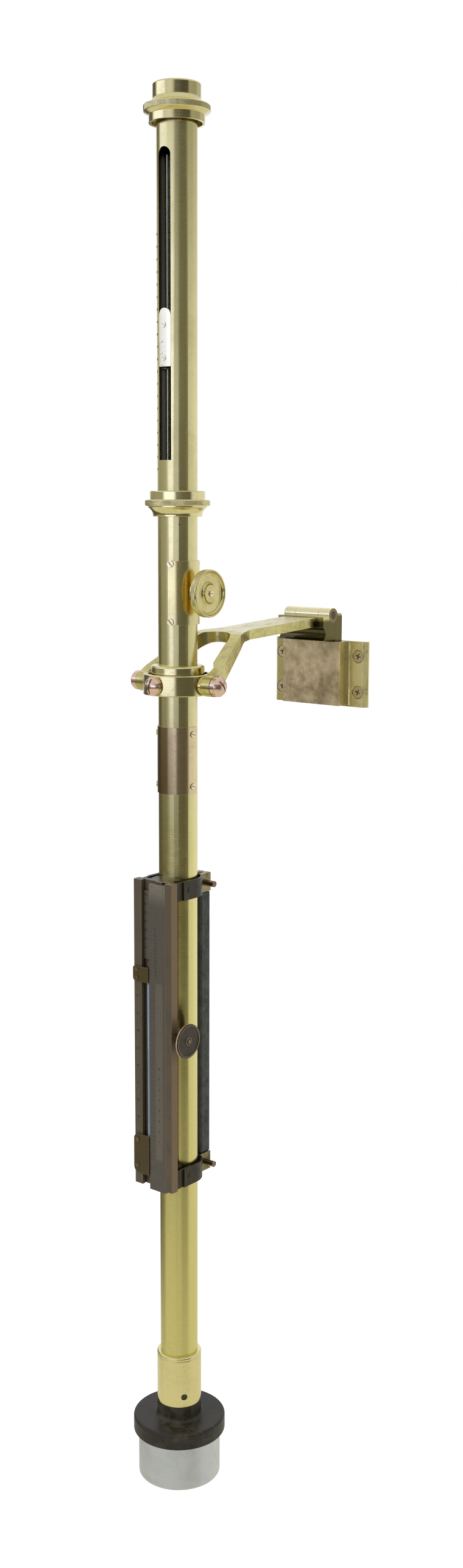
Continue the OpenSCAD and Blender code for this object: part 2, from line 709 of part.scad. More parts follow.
module cistern_cup() color("lightgray") on_tube() rotate_extrude() difference() {
    cup_top = lid_z - washer_t - seat;
    translate([0, cup_z]) square([cup_d / 2, cup_top - cup_z]);
    translate([-1, cup_z + cup_floor]) square([cup_d / 2 - cup_wall + 1, 60]);
    mirror([0, 1]) translate([0, -2 * cup_z]) corner_cut(cup_d / 2, cup_z, 1.4);
}

// Rack and pinion teeth

shaft_r = 1.5;
pinion_teeth = 12;
backlash = 0.16;

// Outline of a pinion with straight-flanked teeth, a tooth centred on +X
module pinion_outline(m) {
    pitch_r = m * pinion_teeth / 2;
    root_r = pitch_r - 1.2 * m;
    tip_r = pitch_r + 0.9 * m;
    half = 90 / pinion_teeth - backlash / pitch_r * 28;
    lean = 3.5;
    polygon([for (k = [0:pinion_teeth - 1]) for (p = [[root_r, -half - lean], [tip_r, lean - half],
                                                      [tip_r, half - lean], [root_r, half + lean]])
        p[0] * [cos(p[1] + k * 360 / pinion_teeth), sin(p[1] + k * 360 / pinion_teeth)]]);
}

// Outline of a rack along +Y with its pitch line on x = 0 and its teeth pointing to -X,
// a gap centred on y = 0
module rack_outline(m, below, above, back) {
    pitch = PI * m;
    flank = 0.35 * m;
    quarter = pitch / 4 - backlash / 2;
    n0 = -ceil(below / pitch);
    n1 = ceil(above / pitch);
    translate([1.1 * m, n0 * pitch]) square([back - 1.1 * m, (n1 - n0) * pitch]);
    for (k = [n0:n1 - 1]) translate([0, (k + 0.5) * pitch]) polygon([
        [1.1 * m + eps, -quarter - flank], [-0.9 * m, -quarter + flank],
        [-0.9 * m, quarter - flank], [1.1 * m + eps, quarter + flank]]);
}

// Vernier

vernier_pitch_r = vernier_module * pinion_teeth / 2;
vernier_play = 0.1;
sleeve_out_r = bore_r - vernier_play;
sleeve_in_r = sleeve_out_r - 1.1;
rack_x = 7.2;
rack_w = 2.3;
rack_back = 1.7;
rack_top_z = vernier_z + 16;
vernier_screw_z = [vernier_z + 5.2, vernier_z + 25.2];

module vernier_screw_places() for (z = vernier_screw_z) radial(front_az, z, tube_r) children();

module vernier_plate() color("palegoldenrod") on_tube() difference() {
    w = slot_w - 2 * vernier_play;
    r0 = sleeve_out_r + seat;
    intersection() {
        translate([0, 0, vernier_z]) ring(tube_r, r0, vernier_top_z - vernier_z);
        rotate([90, 0, 0]) linear_extrude(tube_r + 1) {
            translate([-w / 2, vernier_z]) square([w, vernier_top_z - vernier_z - w / 2]);
            translate([0, vernier_top_z - w / 2]) circle(d = w);
        }
    }
    vernier_screw_places() translate([0, 0, -6]) cylinder(d = 1.6 + 2 * seat, h = 8);
}

module vernier_screws() color("goldenrod") on_tube() vernier_screw_places()
    translate([0, 0, seat]) cheese_screw(3.2, 0.6, 1.6, 2, 60);

module vernier_sleeve() color("gold") on_tube() difference() {
    translate([0, 0, vernier_z]) ring(sleeve_out_r, sleeve_in_r, vernier_screw_z[1] + 3 - vernier_z);
    vernier_screw_places() translate([0, 0, -6]) cylinder(d = 1.6 + 2 * seat, h = 8);
}

module vernier_rack() color("darkgoldenrod") on_tube() intersection() {
    tooth_top = vernier_knob_z + vernier_down + 4;
    tip = vernier_pitch_r - 0.9 * vernier_module;
    union() {
        translate([rack_x, vernier_pitch_r, vernier_knob_z]) rotate([90, 0, 90]) linear_extrude(rack_w)
            rack_outline(vernier_module, vernier_up + 4, vernier_down + 4, rack_back);
        translate([rack_x, tip, tooth_top])
            cube([rack_w, vernier_pitch_r + rack_back - tip, rack_top_z - tooth_top]);
    }
    translate([0, 0, -60]) cylinder(r = sleeve_in_r - seat, h = 400);
}

module vernier_pinion() color("darkgoldenrod") on_tube() radial(0, vernier_knob_z, rack_x - 0.3) {
    linear_extrude(rack_w + 0.4) rotate(90) pinion_outline(vernier_module);
    translate([0, 0, 0.5]) cylinder(r = shaft_r, h = vernier_knob_x - rack_x - 2);
}

// Knob turned from bar: rounded rim, dished face and a centre boss; its axis is +Z
module knob(d, t, dish, boss_d, hub_d, hub_l) difference() {
    r = d / 2;
    rotate_extrude() difference() {
        union() {
            translate([0, -t]) square([r, t]);
            translate([0, -t - hub_l]) square([hub_d / 2, hub_l + eps]);
        }
        corner_cut(r, 0, 0.7);
        mirror([0, 1]) translate([0, 2 * t]) corner_cut(r, -t, 1.2);
        translate([boss_d / 2 + dish, -dish]) square([r - 1.1 - boss_d / 2 - 2 * dish, dish + 1]);
        for (x = [boss_d / 2 + dish, r - 1.1 - dish]) translate([x, 0]) circle(r = dish);
    }
    translate([0, 0, -t - hub_l - 1]) cylinder(r = shaft_r + seat, h = t + hub_l - 0.5 + eps);
    translate([0, 0, -2]) cylinder(r = 0.8 + seat, h = 4);
}

vernier_hub_l = vernier_knob_x - vernier_knob_t - tube_r - saddle_t - 3.6;

module vernier_knob() color("gold") on_tube() radial(0, vernier_knob_z, vernier_knob_x)
    knob(vernier_knob_d, vernier_knob_t, 2.2, 11.2, 7, vernier_hub_l);

module vernier_knob_screw() color("goldenrod") on_tube() radial(0, vernier_knob_z, vernier_knob_x + seat)
    cheese_screw(3.4, 0.8, 1.6, 1.4, 75);

// Correction slide

slide_bottom_z = slide_top_z - slide_l;
rail_left = 10;
slide_gap = 0.1;
dove_x = (plate_right - plate_left) / 2;
dove_h = 1.6;
dove_base = 2.2;
dove_flare = 0.8;
slide_pitch_r = slide_module * pinion_teeth / 2;
slide_axis_y = -(slide_floor + slide_gap + 0.9 * slide_module - slide_pitch_r);
slide_rack_x = 7;
slide_rack_w = 3.2;
housing_back = 16.2;
housing_h = 10.4;
housing_right = slide_w / 2 - 0.5;
shaft_seat = 2.2;

// Plan of a dovetail, its mouth on y = 0 and its wide side at y = -dove_h
module dovetail(grow) polygon([
    [-dove_base - grow, 0.5], [dove_base + grow, 0.5], [dove_base + grow, 0],
    [dove_base + dove_flare + grow, -dove_h - grow],
    [-dove_base - dove_flare - grow, -dove_h - grow], [-dove_base - grow, 0]]);

module slide_body() color("dimgray") on_tube() difference() {
    union() {
        translate([0, 0, slide_bottom_z]) linear_extrude(slide_l) polygon([
            [-slide_w / 2, -slide_back], [-slide_w / 2, -slide_front], [-rail_left, -slide_front],
            [-rail_left, -slide_floor], [plate_right + slide_gap, -slide_floor],
            [plate_right + slide_gap, -slide_front], [slide_w / 2 - 0.4, -slide_front],
            [slide_w / 2, -slide_back]]);
        translate([dove_x, -slide_floor, slide_bottom_z]) linear_extrude(slide_l) dovetail(0);
    }
    translate([-rail_left - 0.6, -slide_floor - 1.0, slide_bottom_z - 1]) cube([0.7, 1.0, slide_l + 2]);
    translate([slide_rack_x - 0.3, -slide_floor - 1, slide_knob_z - 3.6])
        cube([slide_rack_w + 0.7, slide_floor - slide_back + 2, 7.2]);
    translate([4.6, slide_axis_y - shaft_seat + 0.3, slide_knob_z - 2])
        cube([3, 10, 4]);
    translate([plate_right, slide_axis_y - shaft_seat, slide_knob_z - 3.5])
        cube([slide_w, 10, 7]);
    housing_screw_places() cylinder(d = 2 + 2 * seat, h = 20);
    for (z = clip_screw_z) translate([-slide_w / 2 + 2.8, -slide_front - 1, z]) rotate([-90, 0, 0])
        cylinder(d = 1.6 + 2 * seat, h = 4);
}

module slide_plate() color("gray") on_tube() difference() {
    top = slide_top_z - 1.6;
    back = slide_floor + slide_gap;
    tooth_span = slide_travel + 4;
    translate([-plate_left, -slide_front, top - slide_l])
        cube([plate_left + plate_right, slide_front - back, slide_l]);
    translate([dove_x, -slide_floor, top - slide_l - 1]) linear_extrude(slide_l + 2)
        dovetail(slide_gap * 0.8);
    difference() {
        translate([slide_rack_x - 0.2, -back - 2 * slide_module, slide_knob_z - tooth_span])
            cube([slide_rack_w + 0.4, 2 * slide_module + 1, 2 * tooth_span]);
        translate([slide_rack_x - 0.2 - eps, slide_axis_y - slide_pitch_r, slide_knob_z]) mirror([0, 1, 0])
            rotate([90, 0, 90]) linear_extrude(slide_rack_w + 0.4 + 2 * eps)
                rack_outline(slide_module, tooth_span, tooth_span, 1.6);
    }
    translate([inlay_x, -slide_front - 1, 0]) rotate([-90, 0, 0]) linear_extrude(1 + inlay_t)
        inlay_outline(0.05);
    translate([plate_right - 1.7, -slide_front - 1, top - slide_l - 1]) cube([0.3, 1.15, slide_l + 2]);
}

inlay_x = 5.1;
inlay_w = 6;
inlay_t = 0.5;
inlay_top_z = slide_top_z - 67.9;
inlay_bottom_z = slide_bottom_z + 20.2;

module inlay_outline(grow) {
    r = inlay_w / 2 + grow;
    translate([-r, -inlay_top_z + inlay_w / 2]) square([2 * r, inlay_top_z - inlay_bottom_z - inlay_w]);
    for (z = [inlay_top_z - inlay_w / 2, inlay_bottom_z + inlay_w / 2]) translate([0, -z]) circle(r = r);
}

module slide_inlay() color("darkgray") on_tube() translate([inlay_x, -slide_front, 0])
    rotate([-90, 0, 0]) linear_extrude(inlay_t - seat) inlay_outline(0);

module index_scale() color("silver") on_tube()
    translate([-rail_left - 0.5, -slide_floor - 0.9, index_top_z - index_l])
        cube([rail_left + 0.5 - plate_left - 0.2, 0.9 - seat, index_l]);

module housing_screw_places() for (sz = [-1, 1])
    translate([13.6, -slide_back - 1.6, slide_knob_z + sz * 4.35]) rotate([-90, 0, 0]) children();

module slide_pinion_housing() color("dimgray") on_tube() difference() {
    union() {
        translate([4.6, -slide_back + seat, slide_knob_z - housing_h / 2])
            cube([housing_right - 4.6, slide_back - housing_back - seat, housing_h]);
        translate([plate_right + 0.8, slide_axis_y - shaft_seat + seat, slide_knob_z - 3.5 + seat])
            cube([housing_right - plate_right - 0.8, 1 + shaft_seat, 7 - 2 * seat]);
    }
    translate([slide_rack_x - 0.4, slide_axis_y, slide_knob_z]) rotate([0, 90, 0])
        cylinder(r = 3.3, h = slide_rack_w + 0.7);
    translate([0, slide_axis_y, slide_knob_z]) rotate([0, 90, 0]) cylinder(r = shaft_r + run, h = 30);
    housing_screw_places() cylinder(d = 1.6 + 2 * seat, h = 20);
}

module housing_screws() color("dimgray") on_tube() for (sz = [-1, 1])
    translate([13.6, -housing_back, slide_knob_z + sz * 4.35]) rotate([-90, 0, 0])
        translate([0, 0, seat]) cheese_screw(1.7, 0.6, 1.6, slide_back - housing_back + 1.2, 20);

module on_slide_axis(x) translate([x, slide_axis_y, slide_knob_z]) rotate([0, 90, 0]) children();

module slide_pinion() color("dimgray") on_tube() on_slide_axis(4.9) {
    cylinder(r = shaft_r, h = slide_knob_x - 4.9 - 1.5);
    translate([0, 0, slide_rack_x - 4.9]) linear_extrude(slide_rack_w - 0.1) rotate(-90)
        pinion_outline(slide_module);
}

module slide_knob() color("dimgray") on_tube() on_slide_axis(slide_knob_x)
    knob(slide_knob_d, 2.6, 0.7, 5.2, 6, slide_knob_x - 2.6 - housing_right - 0.4);

module slide_knob_screw() color("dimgray") on_tube() on_slide_axis(slide_knob_x + seat)
    cheese_screw(2.4, 0.5, 1.6, 1.4, 30);

// Thermometer, its clip and the guard over its bulb

thermo_r = 1.3;
thermo_x = -5.3;
clip_t = 0.8;
clip_z = [slide_top_z - 68.6, slide_top_z - 58.4];
guard_z = [slide_bottom_z + 7.7, slide_bottom_z + 35];
clip_screw_z = [clip_z[1] - 2.1, clip_z[0] + 2.3, guard_z[1] - 3.8, guard_z[0] + 5.3];

module thermometer() color([0.85, 0.92, 1, 0.6]) on_tube() {
    top = clip_z[1] + 2;
    foot = guard_z[0] + 5;
    translate([thermo_x, -slide_floor - thermo_r - seat, 0]) {
        translate([0, 0, foot]) cylinder(r = thermo_r, h = top - foot);
        for (z = [foot, top]) translate([0, 0, z]) sphere(r = thermo_r);
    }
}

// Flat brass plate on the left rail with rounded outer corners and a pad that reaches the glass
module rail_plate(z, corner) difference() {
    union() {
        translate([0, -slide_front - seat, 0]) rotate([90, 0, 0]) linear_extrude(clip_t) difference() {
            translate([-slide_w / 2 - 0.5, z[0]]) square([slide_w / 2 + 0.5 - plate_left - 0.3, z[1] - z[0]]);
            for (e = [0, 1]) translate([-slide_w / 2 - 0.5, z[e]]) mirror([0, e]) difference() {
                translate([-1, -1]) square(corner + 1);
                translate([corner, corner]) circle(r = corner);
            }
        }
        translate([thermo_x - thermo_r, -slide_front - seat - eps, z[0] + 1])
            cube([2 * thermo_r, slide_front - slide_floor - 2 * thermo_r - seat, z[1] - z[0] - 2]);
    }
    for (s = clip_screw_z) translate([-slide_w / 2 + 2.8, -slide_front - 3, s]) rotate([-90, 0, 0])
        cylinder(d = 1.6 + 2 * seat, h = 6);
}

module thermometer_clip() color("darkgoldenrod") on_tube() rail_plate(clip_z, 2);

module bulb_guard() color("darkgoldenrod") on_tube() rail_plate(guard_z, 4);

module clip_screws() color("goldenrod") on_tube() for (z = clip_screw_z)
    translate([-slide_w / 2 + 2.8, -slide_front - clip_t - 2 * seat, z]) rotate([90, 0, 0])
        cheese_screw(3, 0.6, 1.6, 3.4, z * 3);

// Clamps and balance bar

clamp_z = [slide_top_z - band_h / 2 - 0.2, slide_bottom_z + band_h / 2 + 0.2];
ear_out = band_r - band_t - seat;
ear_in = ear_out - 1.2;
rivet_y = -6.4;
lap_y = -12.5;
lug_back = band_r - 0.3 + bar_w + 2;
bar_y = lug_back - bar_w / 2;
lug_shift = 1.6;
clamp_screw_y = bar_y - 0.5;
upper_lug_z = clamp_z[0] - lug_shift;
lower_lug_z = clamp_z[1] - lug_shift;
spigot_l = 3.5;

// Saddle that seats on the tube, with an ear each side for the band
module clamp_saddles() color("dimgray") on_tube() for (z = clamp_z)
    translate([0, 0, z - band_h / 2]) difference() {
        linear_extrude(band_h) {
            difference() {
                translate([-ear_out, -slide_back + seat]) square([2 * ear_out, 3]);
                circle(r = tube_r + seat);
            }
            difference() {
                polygon([[-9, -slide_back + 1], [9, -slide_back + 1], [10.4, -9], [-10.4, -9]]);
                circle(r = tube_r + seat);
            }
            for (s = [-1, 1]) translate([s > 0 ? ear_in : -ear_out, -slide_back + 1])
                square([ear_out - ear_in, slide_back - 5]);
        }
        rivet_axes(band_h / 2) cylinder(r = 1.3 + seat, h = 6);
    }

module rivet_axes(z) for (s = [-1, 1])
    translate([s * (ear_in - 1), rivet_y, z]) rotate([0, s * 90, 0]) children();

module band_half() difference() {
    union() {
        intersection() {
            difference() {
                circle(r = band_r);
                circle(r = band_r - band_t);
            }
            translate([lug_gap / 2, 0]) square([30, 30]);
        }
        translate([band_r - band_t, lap_y]) square([band_t, -lap_y + eps]);
    }
}

module clamp_bands() color("dimgray") on_tube() for (z = clamp_z, s = [0, 1])
    translate([0, 0, z - band_h / 2]) mirror([s, 0, 0]) difference() {
        linear_extrude(band_h) band_half();
        rivet_axes(band_h / 2) cylinder(r = 1.3 + seat, h = 6);
    }

module clamp_rivets() color("gray") on_tube() for (z = clamp_z) translate([0, 0, z]) rivet_axes(0) {
    grip = band_r - ear_in + 1;
    cylinder(r = 1.3, h = grip);
    translate([0, 0, grip + seat]) cylinder(r = 2, h = 0.3);
    translate([0, 0, grip - eps]) cylinder(r = 1.3, h = seat + 2 * eps);
}

module clamp_lugs() color("darkgoldenrod") on_tube() for (z = [upper_lug_z, lower_lug_z], s = [0, 1])
    difference() {
        mirror([s, 0, 0]) translate([0, 0, z - lug_h / 2]) linear_extrude(lug_h) difference() {
            translate([lug_gap / 2, 0]) square([bar_w / 2 - lug_gap / 2, lug_back]);
            circle(r = band_r + seat);
        }
        translate([0, clamp_screw_y, z]) across(clamp_screw_d / 2 + seat, 40);
        for (e = [0, 1]) translate([0, bar_y, z]) mirror([0, 0, e])
            translate([0, 0, lug_h / 2 - spigot_l - 0.2]) cylinder(r = 1.8 + seat, h = 10);
    }

module clamp_screws() color("darkgoldenrod") on_tube() for (z = [upper_lug_z, lower_lug_z])
    translate([0, clamp_screw_y, z]) {
        translate([-bar_w / 2 - 0.5, 0, 0]) rotate([0, 90, 0]) cylinder(d = clamp_screw_d, h = bar_w + 8.5);
        translate([-bar_w / 2 - seat, 0, 0]) rotate([0, -90, 0]) cheese_screw(6.6, 2.4, clamp_screw_d, 2, 30);
    }

module balance_bar() color([0.22, 0.23, 0.24]) on_tube() {
    top = upper_lug_z - lug_h / 2 - 0.1;
    foot = lower_lug_z + lug_h / 2 + 0.1;
    translate([0, bar_y, 0]) {
        intersection() {
            translate([0, 0, foot]) linear_extrude(top - foot) bevelled(bar_w, bar_w, 1.1);
            translate([0, 0, (top + foot) / 2]) rotate([90, 0, 0])
                translate([0, 0, -bar_w]) linear_extrude(2 * bar_w) bevelled(bar_w, top - foot, 1.2);
            translate([0, 0, (top + foot) / 2]) rotate([90, 0, 90])
                translate([0, 0, -bar_w]) linear_extrude(2 * bar_w) bevelled(bar_w, top - foot, 1.2);
        }
        translate([0, 0, top - 1]) cylinder(r = 1.8, h = spigot_l + 1);
        translate([0, 0, foot - spigot_l]) cylinder(r = 1.8, h = spigot_l + 1);
    }
}

// Rectangle centred on the origin with its corners cut off
module bevelled(w, h, c) polygon([
    [-w / 2, -h / 2 + c], [-w / 2 + c, -h / 2], [w / 2 - c, -h / 2], [w / 2, -h / 2 + c],
    [w / 2, h / 2 - c], [w / 2 - c, h / 2], [-w / 2 + c, h / 2], [-w / 2, h / 2 - c]]);

wall_bracket();
wall_screws();
hinge_leaf();
fork_arm();
hinge_pin();
outer_pivot_screws();
gimbal_ring();
inner_pivot_screws();
gimbal_collar();
case_tube();
top_cap();
cushion_screws();
middle_flange();
pinion_saddle();
saddle_screws();
pinion_bush();
data_plate();
data_plate_screws();
glass_tube();
mercury();
tube_cushions();
cistern_sleeve();
sleeve_set_screw();
cistern_lid();
lid_washer();
cistern_cup();
vernier_plate();
vernier_screws();
vernier_sleeve();
vernier_rack();
vernier_knob();
vernier_pinion();
vernier_knob_screw();
slide_body();
slide_plate();
slide_inlay();
index_scale();
slide_pinion_housing();
housing_screws();
slide_knob();
slide_pinion();
slide_knob_screw();
thermometer();
thermometer_clip();
bulb_guard();
clip_screws();
clamp_saddles();
clamp_bands();
clamp_rivets();
clamp_lugs();
clamp_screws();
balance_bar();
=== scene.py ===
from math import atan2, cos, pi, radians, sin

import bpy
from mathutils import Matrix, Vector


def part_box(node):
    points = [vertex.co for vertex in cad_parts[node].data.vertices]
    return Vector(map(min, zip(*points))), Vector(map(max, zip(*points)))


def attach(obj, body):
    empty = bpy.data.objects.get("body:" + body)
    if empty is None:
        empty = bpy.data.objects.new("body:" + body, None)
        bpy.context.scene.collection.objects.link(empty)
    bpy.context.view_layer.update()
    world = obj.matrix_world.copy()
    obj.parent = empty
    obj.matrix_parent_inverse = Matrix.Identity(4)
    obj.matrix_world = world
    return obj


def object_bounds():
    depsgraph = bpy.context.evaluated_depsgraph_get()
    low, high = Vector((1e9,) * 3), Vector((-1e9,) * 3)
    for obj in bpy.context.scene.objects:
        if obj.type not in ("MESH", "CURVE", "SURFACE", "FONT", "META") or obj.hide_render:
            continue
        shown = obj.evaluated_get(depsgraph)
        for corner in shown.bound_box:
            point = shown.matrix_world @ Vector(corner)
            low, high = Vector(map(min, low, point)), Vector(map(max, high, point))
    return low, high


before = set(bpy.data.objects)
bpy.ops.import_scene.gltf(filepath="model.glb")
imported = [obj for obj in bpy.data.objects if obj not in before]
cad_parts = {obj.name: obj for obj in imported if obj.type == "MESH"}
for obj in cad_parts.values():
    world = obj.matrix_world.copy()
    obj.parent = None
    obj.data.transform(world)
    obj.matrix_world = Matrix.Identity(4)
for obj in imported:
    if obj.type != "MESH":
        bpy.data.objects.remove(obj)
cad_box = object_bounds()


# Wall bracket: a brass plate with a pocket for the tongue, sawn from bar and finished with a file drawn up
# and down. The plate has gone olive, less so at its right, and dirt and painted shade darken its
# countersinks. The pocket's front, which hands hold, is a mottled, scratched brown.
mm = 0.001
far = 1.0  # metres from the origin, past every end of the object


def fill(tree, made, inputs):
    """Sets a node's sockets to values or links them to other sockets. Returns the node."""
    for key, value in inputs.items():
        if isinstance(value, bpy.types.NodeSocket):
            tree.links.new(value, made.inputs[key])
        else:
            made.inputs[key].default_value = value
    return made


def node(tree, kind, inputs=(), **settings):
    """Adds a shader node with its settings and its inputs."""
    made = tree.nodes.new("ShaderNode" + kind)
    for key, value in settings.items():
        setattr(made, key, value)
    return fill(tree, made, dict(inputs))


def compute(tree, operation, a, b=0.0):
    """A sum on one or two values or sockets."""
    return node(tree, "Math", {0: a, 1: b}, operation=operation).outputs[0]


def mix_colours(tree, share, a, b):
    """Colour a where the share is 0 and colour b where it is 1."""
    return node(tree, "Mix", {0: share, 6: a, 7: b}, data_type="RGBA").outputs[2]


def node_group(name, inputs, outputs):
    """An empty group with named sockets; returns it with its input and output nodes."""
    tree = bpy.data.node_groups.new(name, "ShaderNodeTree")
    for label, (kind, value) in inputs.items():
        socket = tree.interface.new_socket(label, in_out="INPUT", socket_type="NodeSocket" + kind)
        socket.default_value = value
    for label, kind in outputs.items():
        tree.interface.new_socket(label, in_out="OUTPUT", socket_type="NodeSocket" + kind)
    return tree, tree.nodes.new("NodeGroupInput").outputs, tree.nodes.new("NodeGroupOutput").inputs


def tool_marks():
    """Fine lines left by a file or a lathe: noise drawn out along the way that the tool went."""
    tree, given, out = node_group("tool_marks", {"Stretch": ("Vector", (1, 1, 1))}, {"Height": "Float"})
    place = node(tree, "TexCoord").outputs["Object"]
    drawn = node(tree, "Mapping", {"Vector": place, "Scale": given["Stretch"]}).outputs[0]
    lines = node(tree, "TexNoise", {"Vector": drawn, "Scale": 1.0, "Detail": 3.0,
                                    "Roughness": 0.65}).outputs[0]
    tree.links.new(lines, out["Height"])
    return tree


def tarnish():
    """Patches where the metal has gone dull, each with a ragged border."""
    tree, given, out = node_group(
        "tarnish",
        {"Metal": ("Color", (1, 1, 1, 1)), "Stain": ("Color", (0, 0, 0, 1)), "Cover": ("Float", 0.5),
         "Patches": ("Float", 60.0)},
        {"Colour": "Color", "Mask": "Float"})
    place = node(tree, "TexCoord").outputs["Object"]
    broad = node(tree, "TexNoise", {"Vector": place, "Scale": given["Patches"], "Detail": 5.0,
                                    "Roughness": 0.6, "Distortion": 0.5}).outputs[0]
    finer = compute(tree, "MULTIPLY", given["Patches"], 9.0)
    small = node(tree, "TexNoise", {"Vector": place, "Scale": finer, "Detail": 3.0}).outputs[0]
    both = compute(tree, "ADD", compute(tree, "MULTIPLY", broad, 0.7), compute(tree, "MULTIPLY", small, 0.3))
    border = compute(tree, "SUBTRACT", 1.0, given["Cover"])
    mask = node(tree, "MapRange", {"Value": both, "From Min": compute(tree, "SUBTRACT", border, 0.16),
                                   "From Max": compute(tree, "ADD", border, 0.16)},
                interpolation_type="SMOOTHSTEP").outputs[0]
    tree.links.new(mask, out["Mask"])
    tree.links.new(mix_colours(tree, mask, given["Metal"], given["Stain"]), out["Colour"])
    return tree


def soft_edges():
    """The small round on every edge, and a mask of where it is rubbed bright."""
    tree, given, out = node_group("soft_edges", {"Width": ("Float", 0.0002)},
                                  {"Normal": "Vector", "Mask": "Float"})
    rounded = node(tree, "Bevel", {"Radius": given["Width"]}, samples=6).outputs[0]
    flat = node(tree, "NewGeometry").outputs["Normal"]
    agree = node(tree, "VectorMath", {0: rounded, 1: flat}, operation="DOT_PRODUCT").outputs["Value"]
    mask = node(tree, "MapRange", {"Value": agree, "From Min": 0.995, "From Max": 0.9},
                interpolation_type="SMOOTHSTEP").outputs[0]
    tree.links.new(rounded, out["Normal"])
    tree.links.new(mask, out["Mask"])
    return tree


def scratches():
    """Thin random scratches across a surface, all leaning one way."""
    tree, given, out = node_group(
        "scratches", {"Turn": ("Vector", (0, 0, 0)), "Stretch": ("Vector", (1, 1, 1))}, {"Mask": "Float"})
    place = node(tree, "TexCoord").outputs["Object"]
    turned = node(tree, "Mapping", {"Vector": place, "Rotation": given["Turn"]}).outputs[0]
    drawn = node(tree, "Mapping", {"Vector": turned, "Scale": given["Stretch"]}).outputs[0]
    lines = node(tree, "TexNoise", {"Vector": drawn, "Scale": 1.0, "Detail": 2.0}).outputs[0]
    mask = node(tree, "MapRange", {"Value": lines, "From Min": 0.63, "From Max": 0.70}).outputs[0]
    tree.links.new(mask, out["Mask"])
    return tree


def inside_box():
    """1 inside a box in the part's own coordinates and 0 outside, with a soft border on its inner side."""
    tree, given, out = node_group("inside_box", {"Low": ("Vector", (0, 0, 0)), "High": ("Vector", (1, 1, 1)),
                                                 "Soft": ("Float", 0.001)}, {"Mask": "Float"})
    place = node(tree, "TexCoord").outputs["Object"]
    above = node(tree, "VectorMath", {0: place, 1: given["Low"]}, operation="SUBTRACT").outputs[0]
    below = node(tree, "VectorMath", {0: given["High"], 1: place}, operation="SUBTRACT").outputs[0]
    mask = 1.0
    for side in (above, below):
        parts = node(tree, "SeparateXYZ", {0: side}).outputs
        for part in parts:
            share = node(tree, "MapRange", {"Value": part, "From Max": given["Soft"]}).outputs[0]
            mask = compute(tree, "MULTIPLY", share, mask)
    tree.links.new(mask, out["Mask"])
    return tree


def inside_rod():
    """1 within a radius of an axis and 0 past it. Across is 1 for the two coordinates that count."""
    tree, given, out = node_group("inside_rod", {"Centre": ("Vector", (0, 0, 0)),
                                                 "Across": ("Vector", (1, 1, 0)),
                                                 "Radius": ("Float", 0.01)}, {"Mask": "Float"})
    place = node(tree, "TexCoord").outputs["Object"]
    away = node(tree, "VectorMath", {0: place, 1: given["Centre"]}, operation="SUBTRACT").outputs[0]
    flat = node(tree, "VectorMath", {0: away, 1: given["Across"]}, operation="MULTIPLY").outputs[0]
    distance = node(tree, "VectorMath", {0: flat}, operation="LENGTH").outputs["Value"]
    tree.links.new(compute(tree, "LESS_THAN", distance, given["Radius"]), out["Mask"])
    return tree


def crevices():
    """1 deep in corners and recesses, for dirt and painted shade, and 0 in the open."""
    tree, given, out = node_group("crevices", {"Reach": ("Float", 0.001)}, {"Mask": "Float"})
    shelter = node(tree, "AmbientOcclusion", {"Distance": given["Reach"]}, samples=4).outputs["AO"]
    mask = node(tree, "MapRange", {"Value": shelter, "From Min": 0.85, "From Max": 0.45}).outputs[0]
    tree.links.new(mask, out["Mask"])
    return tree


GROUPS = {build.__name__: build() for build in (tool_marks, tarnish, soft_edges, scratches, inside_box,
                                                inside_rod, crevices)}


def group(tree, name, **inputs):
    """Places a node group in a tree with its inputs."""
    made = tree.nodes.new("ShaderNodeGroup")
    made.node_tree = GROUPS[name]
    return fill(tree, made, inputs)


def new_material(name, inputs):
    """A material with these inputs of its shader set. Returns it with its tree and its shader."""
    material = bpy.data.materials.new(name)
    material.use_nodes = True
    tree = material.node_tree
    return material, tree, fill(tree, tree.nodes["Principled BSDF"], inputs)


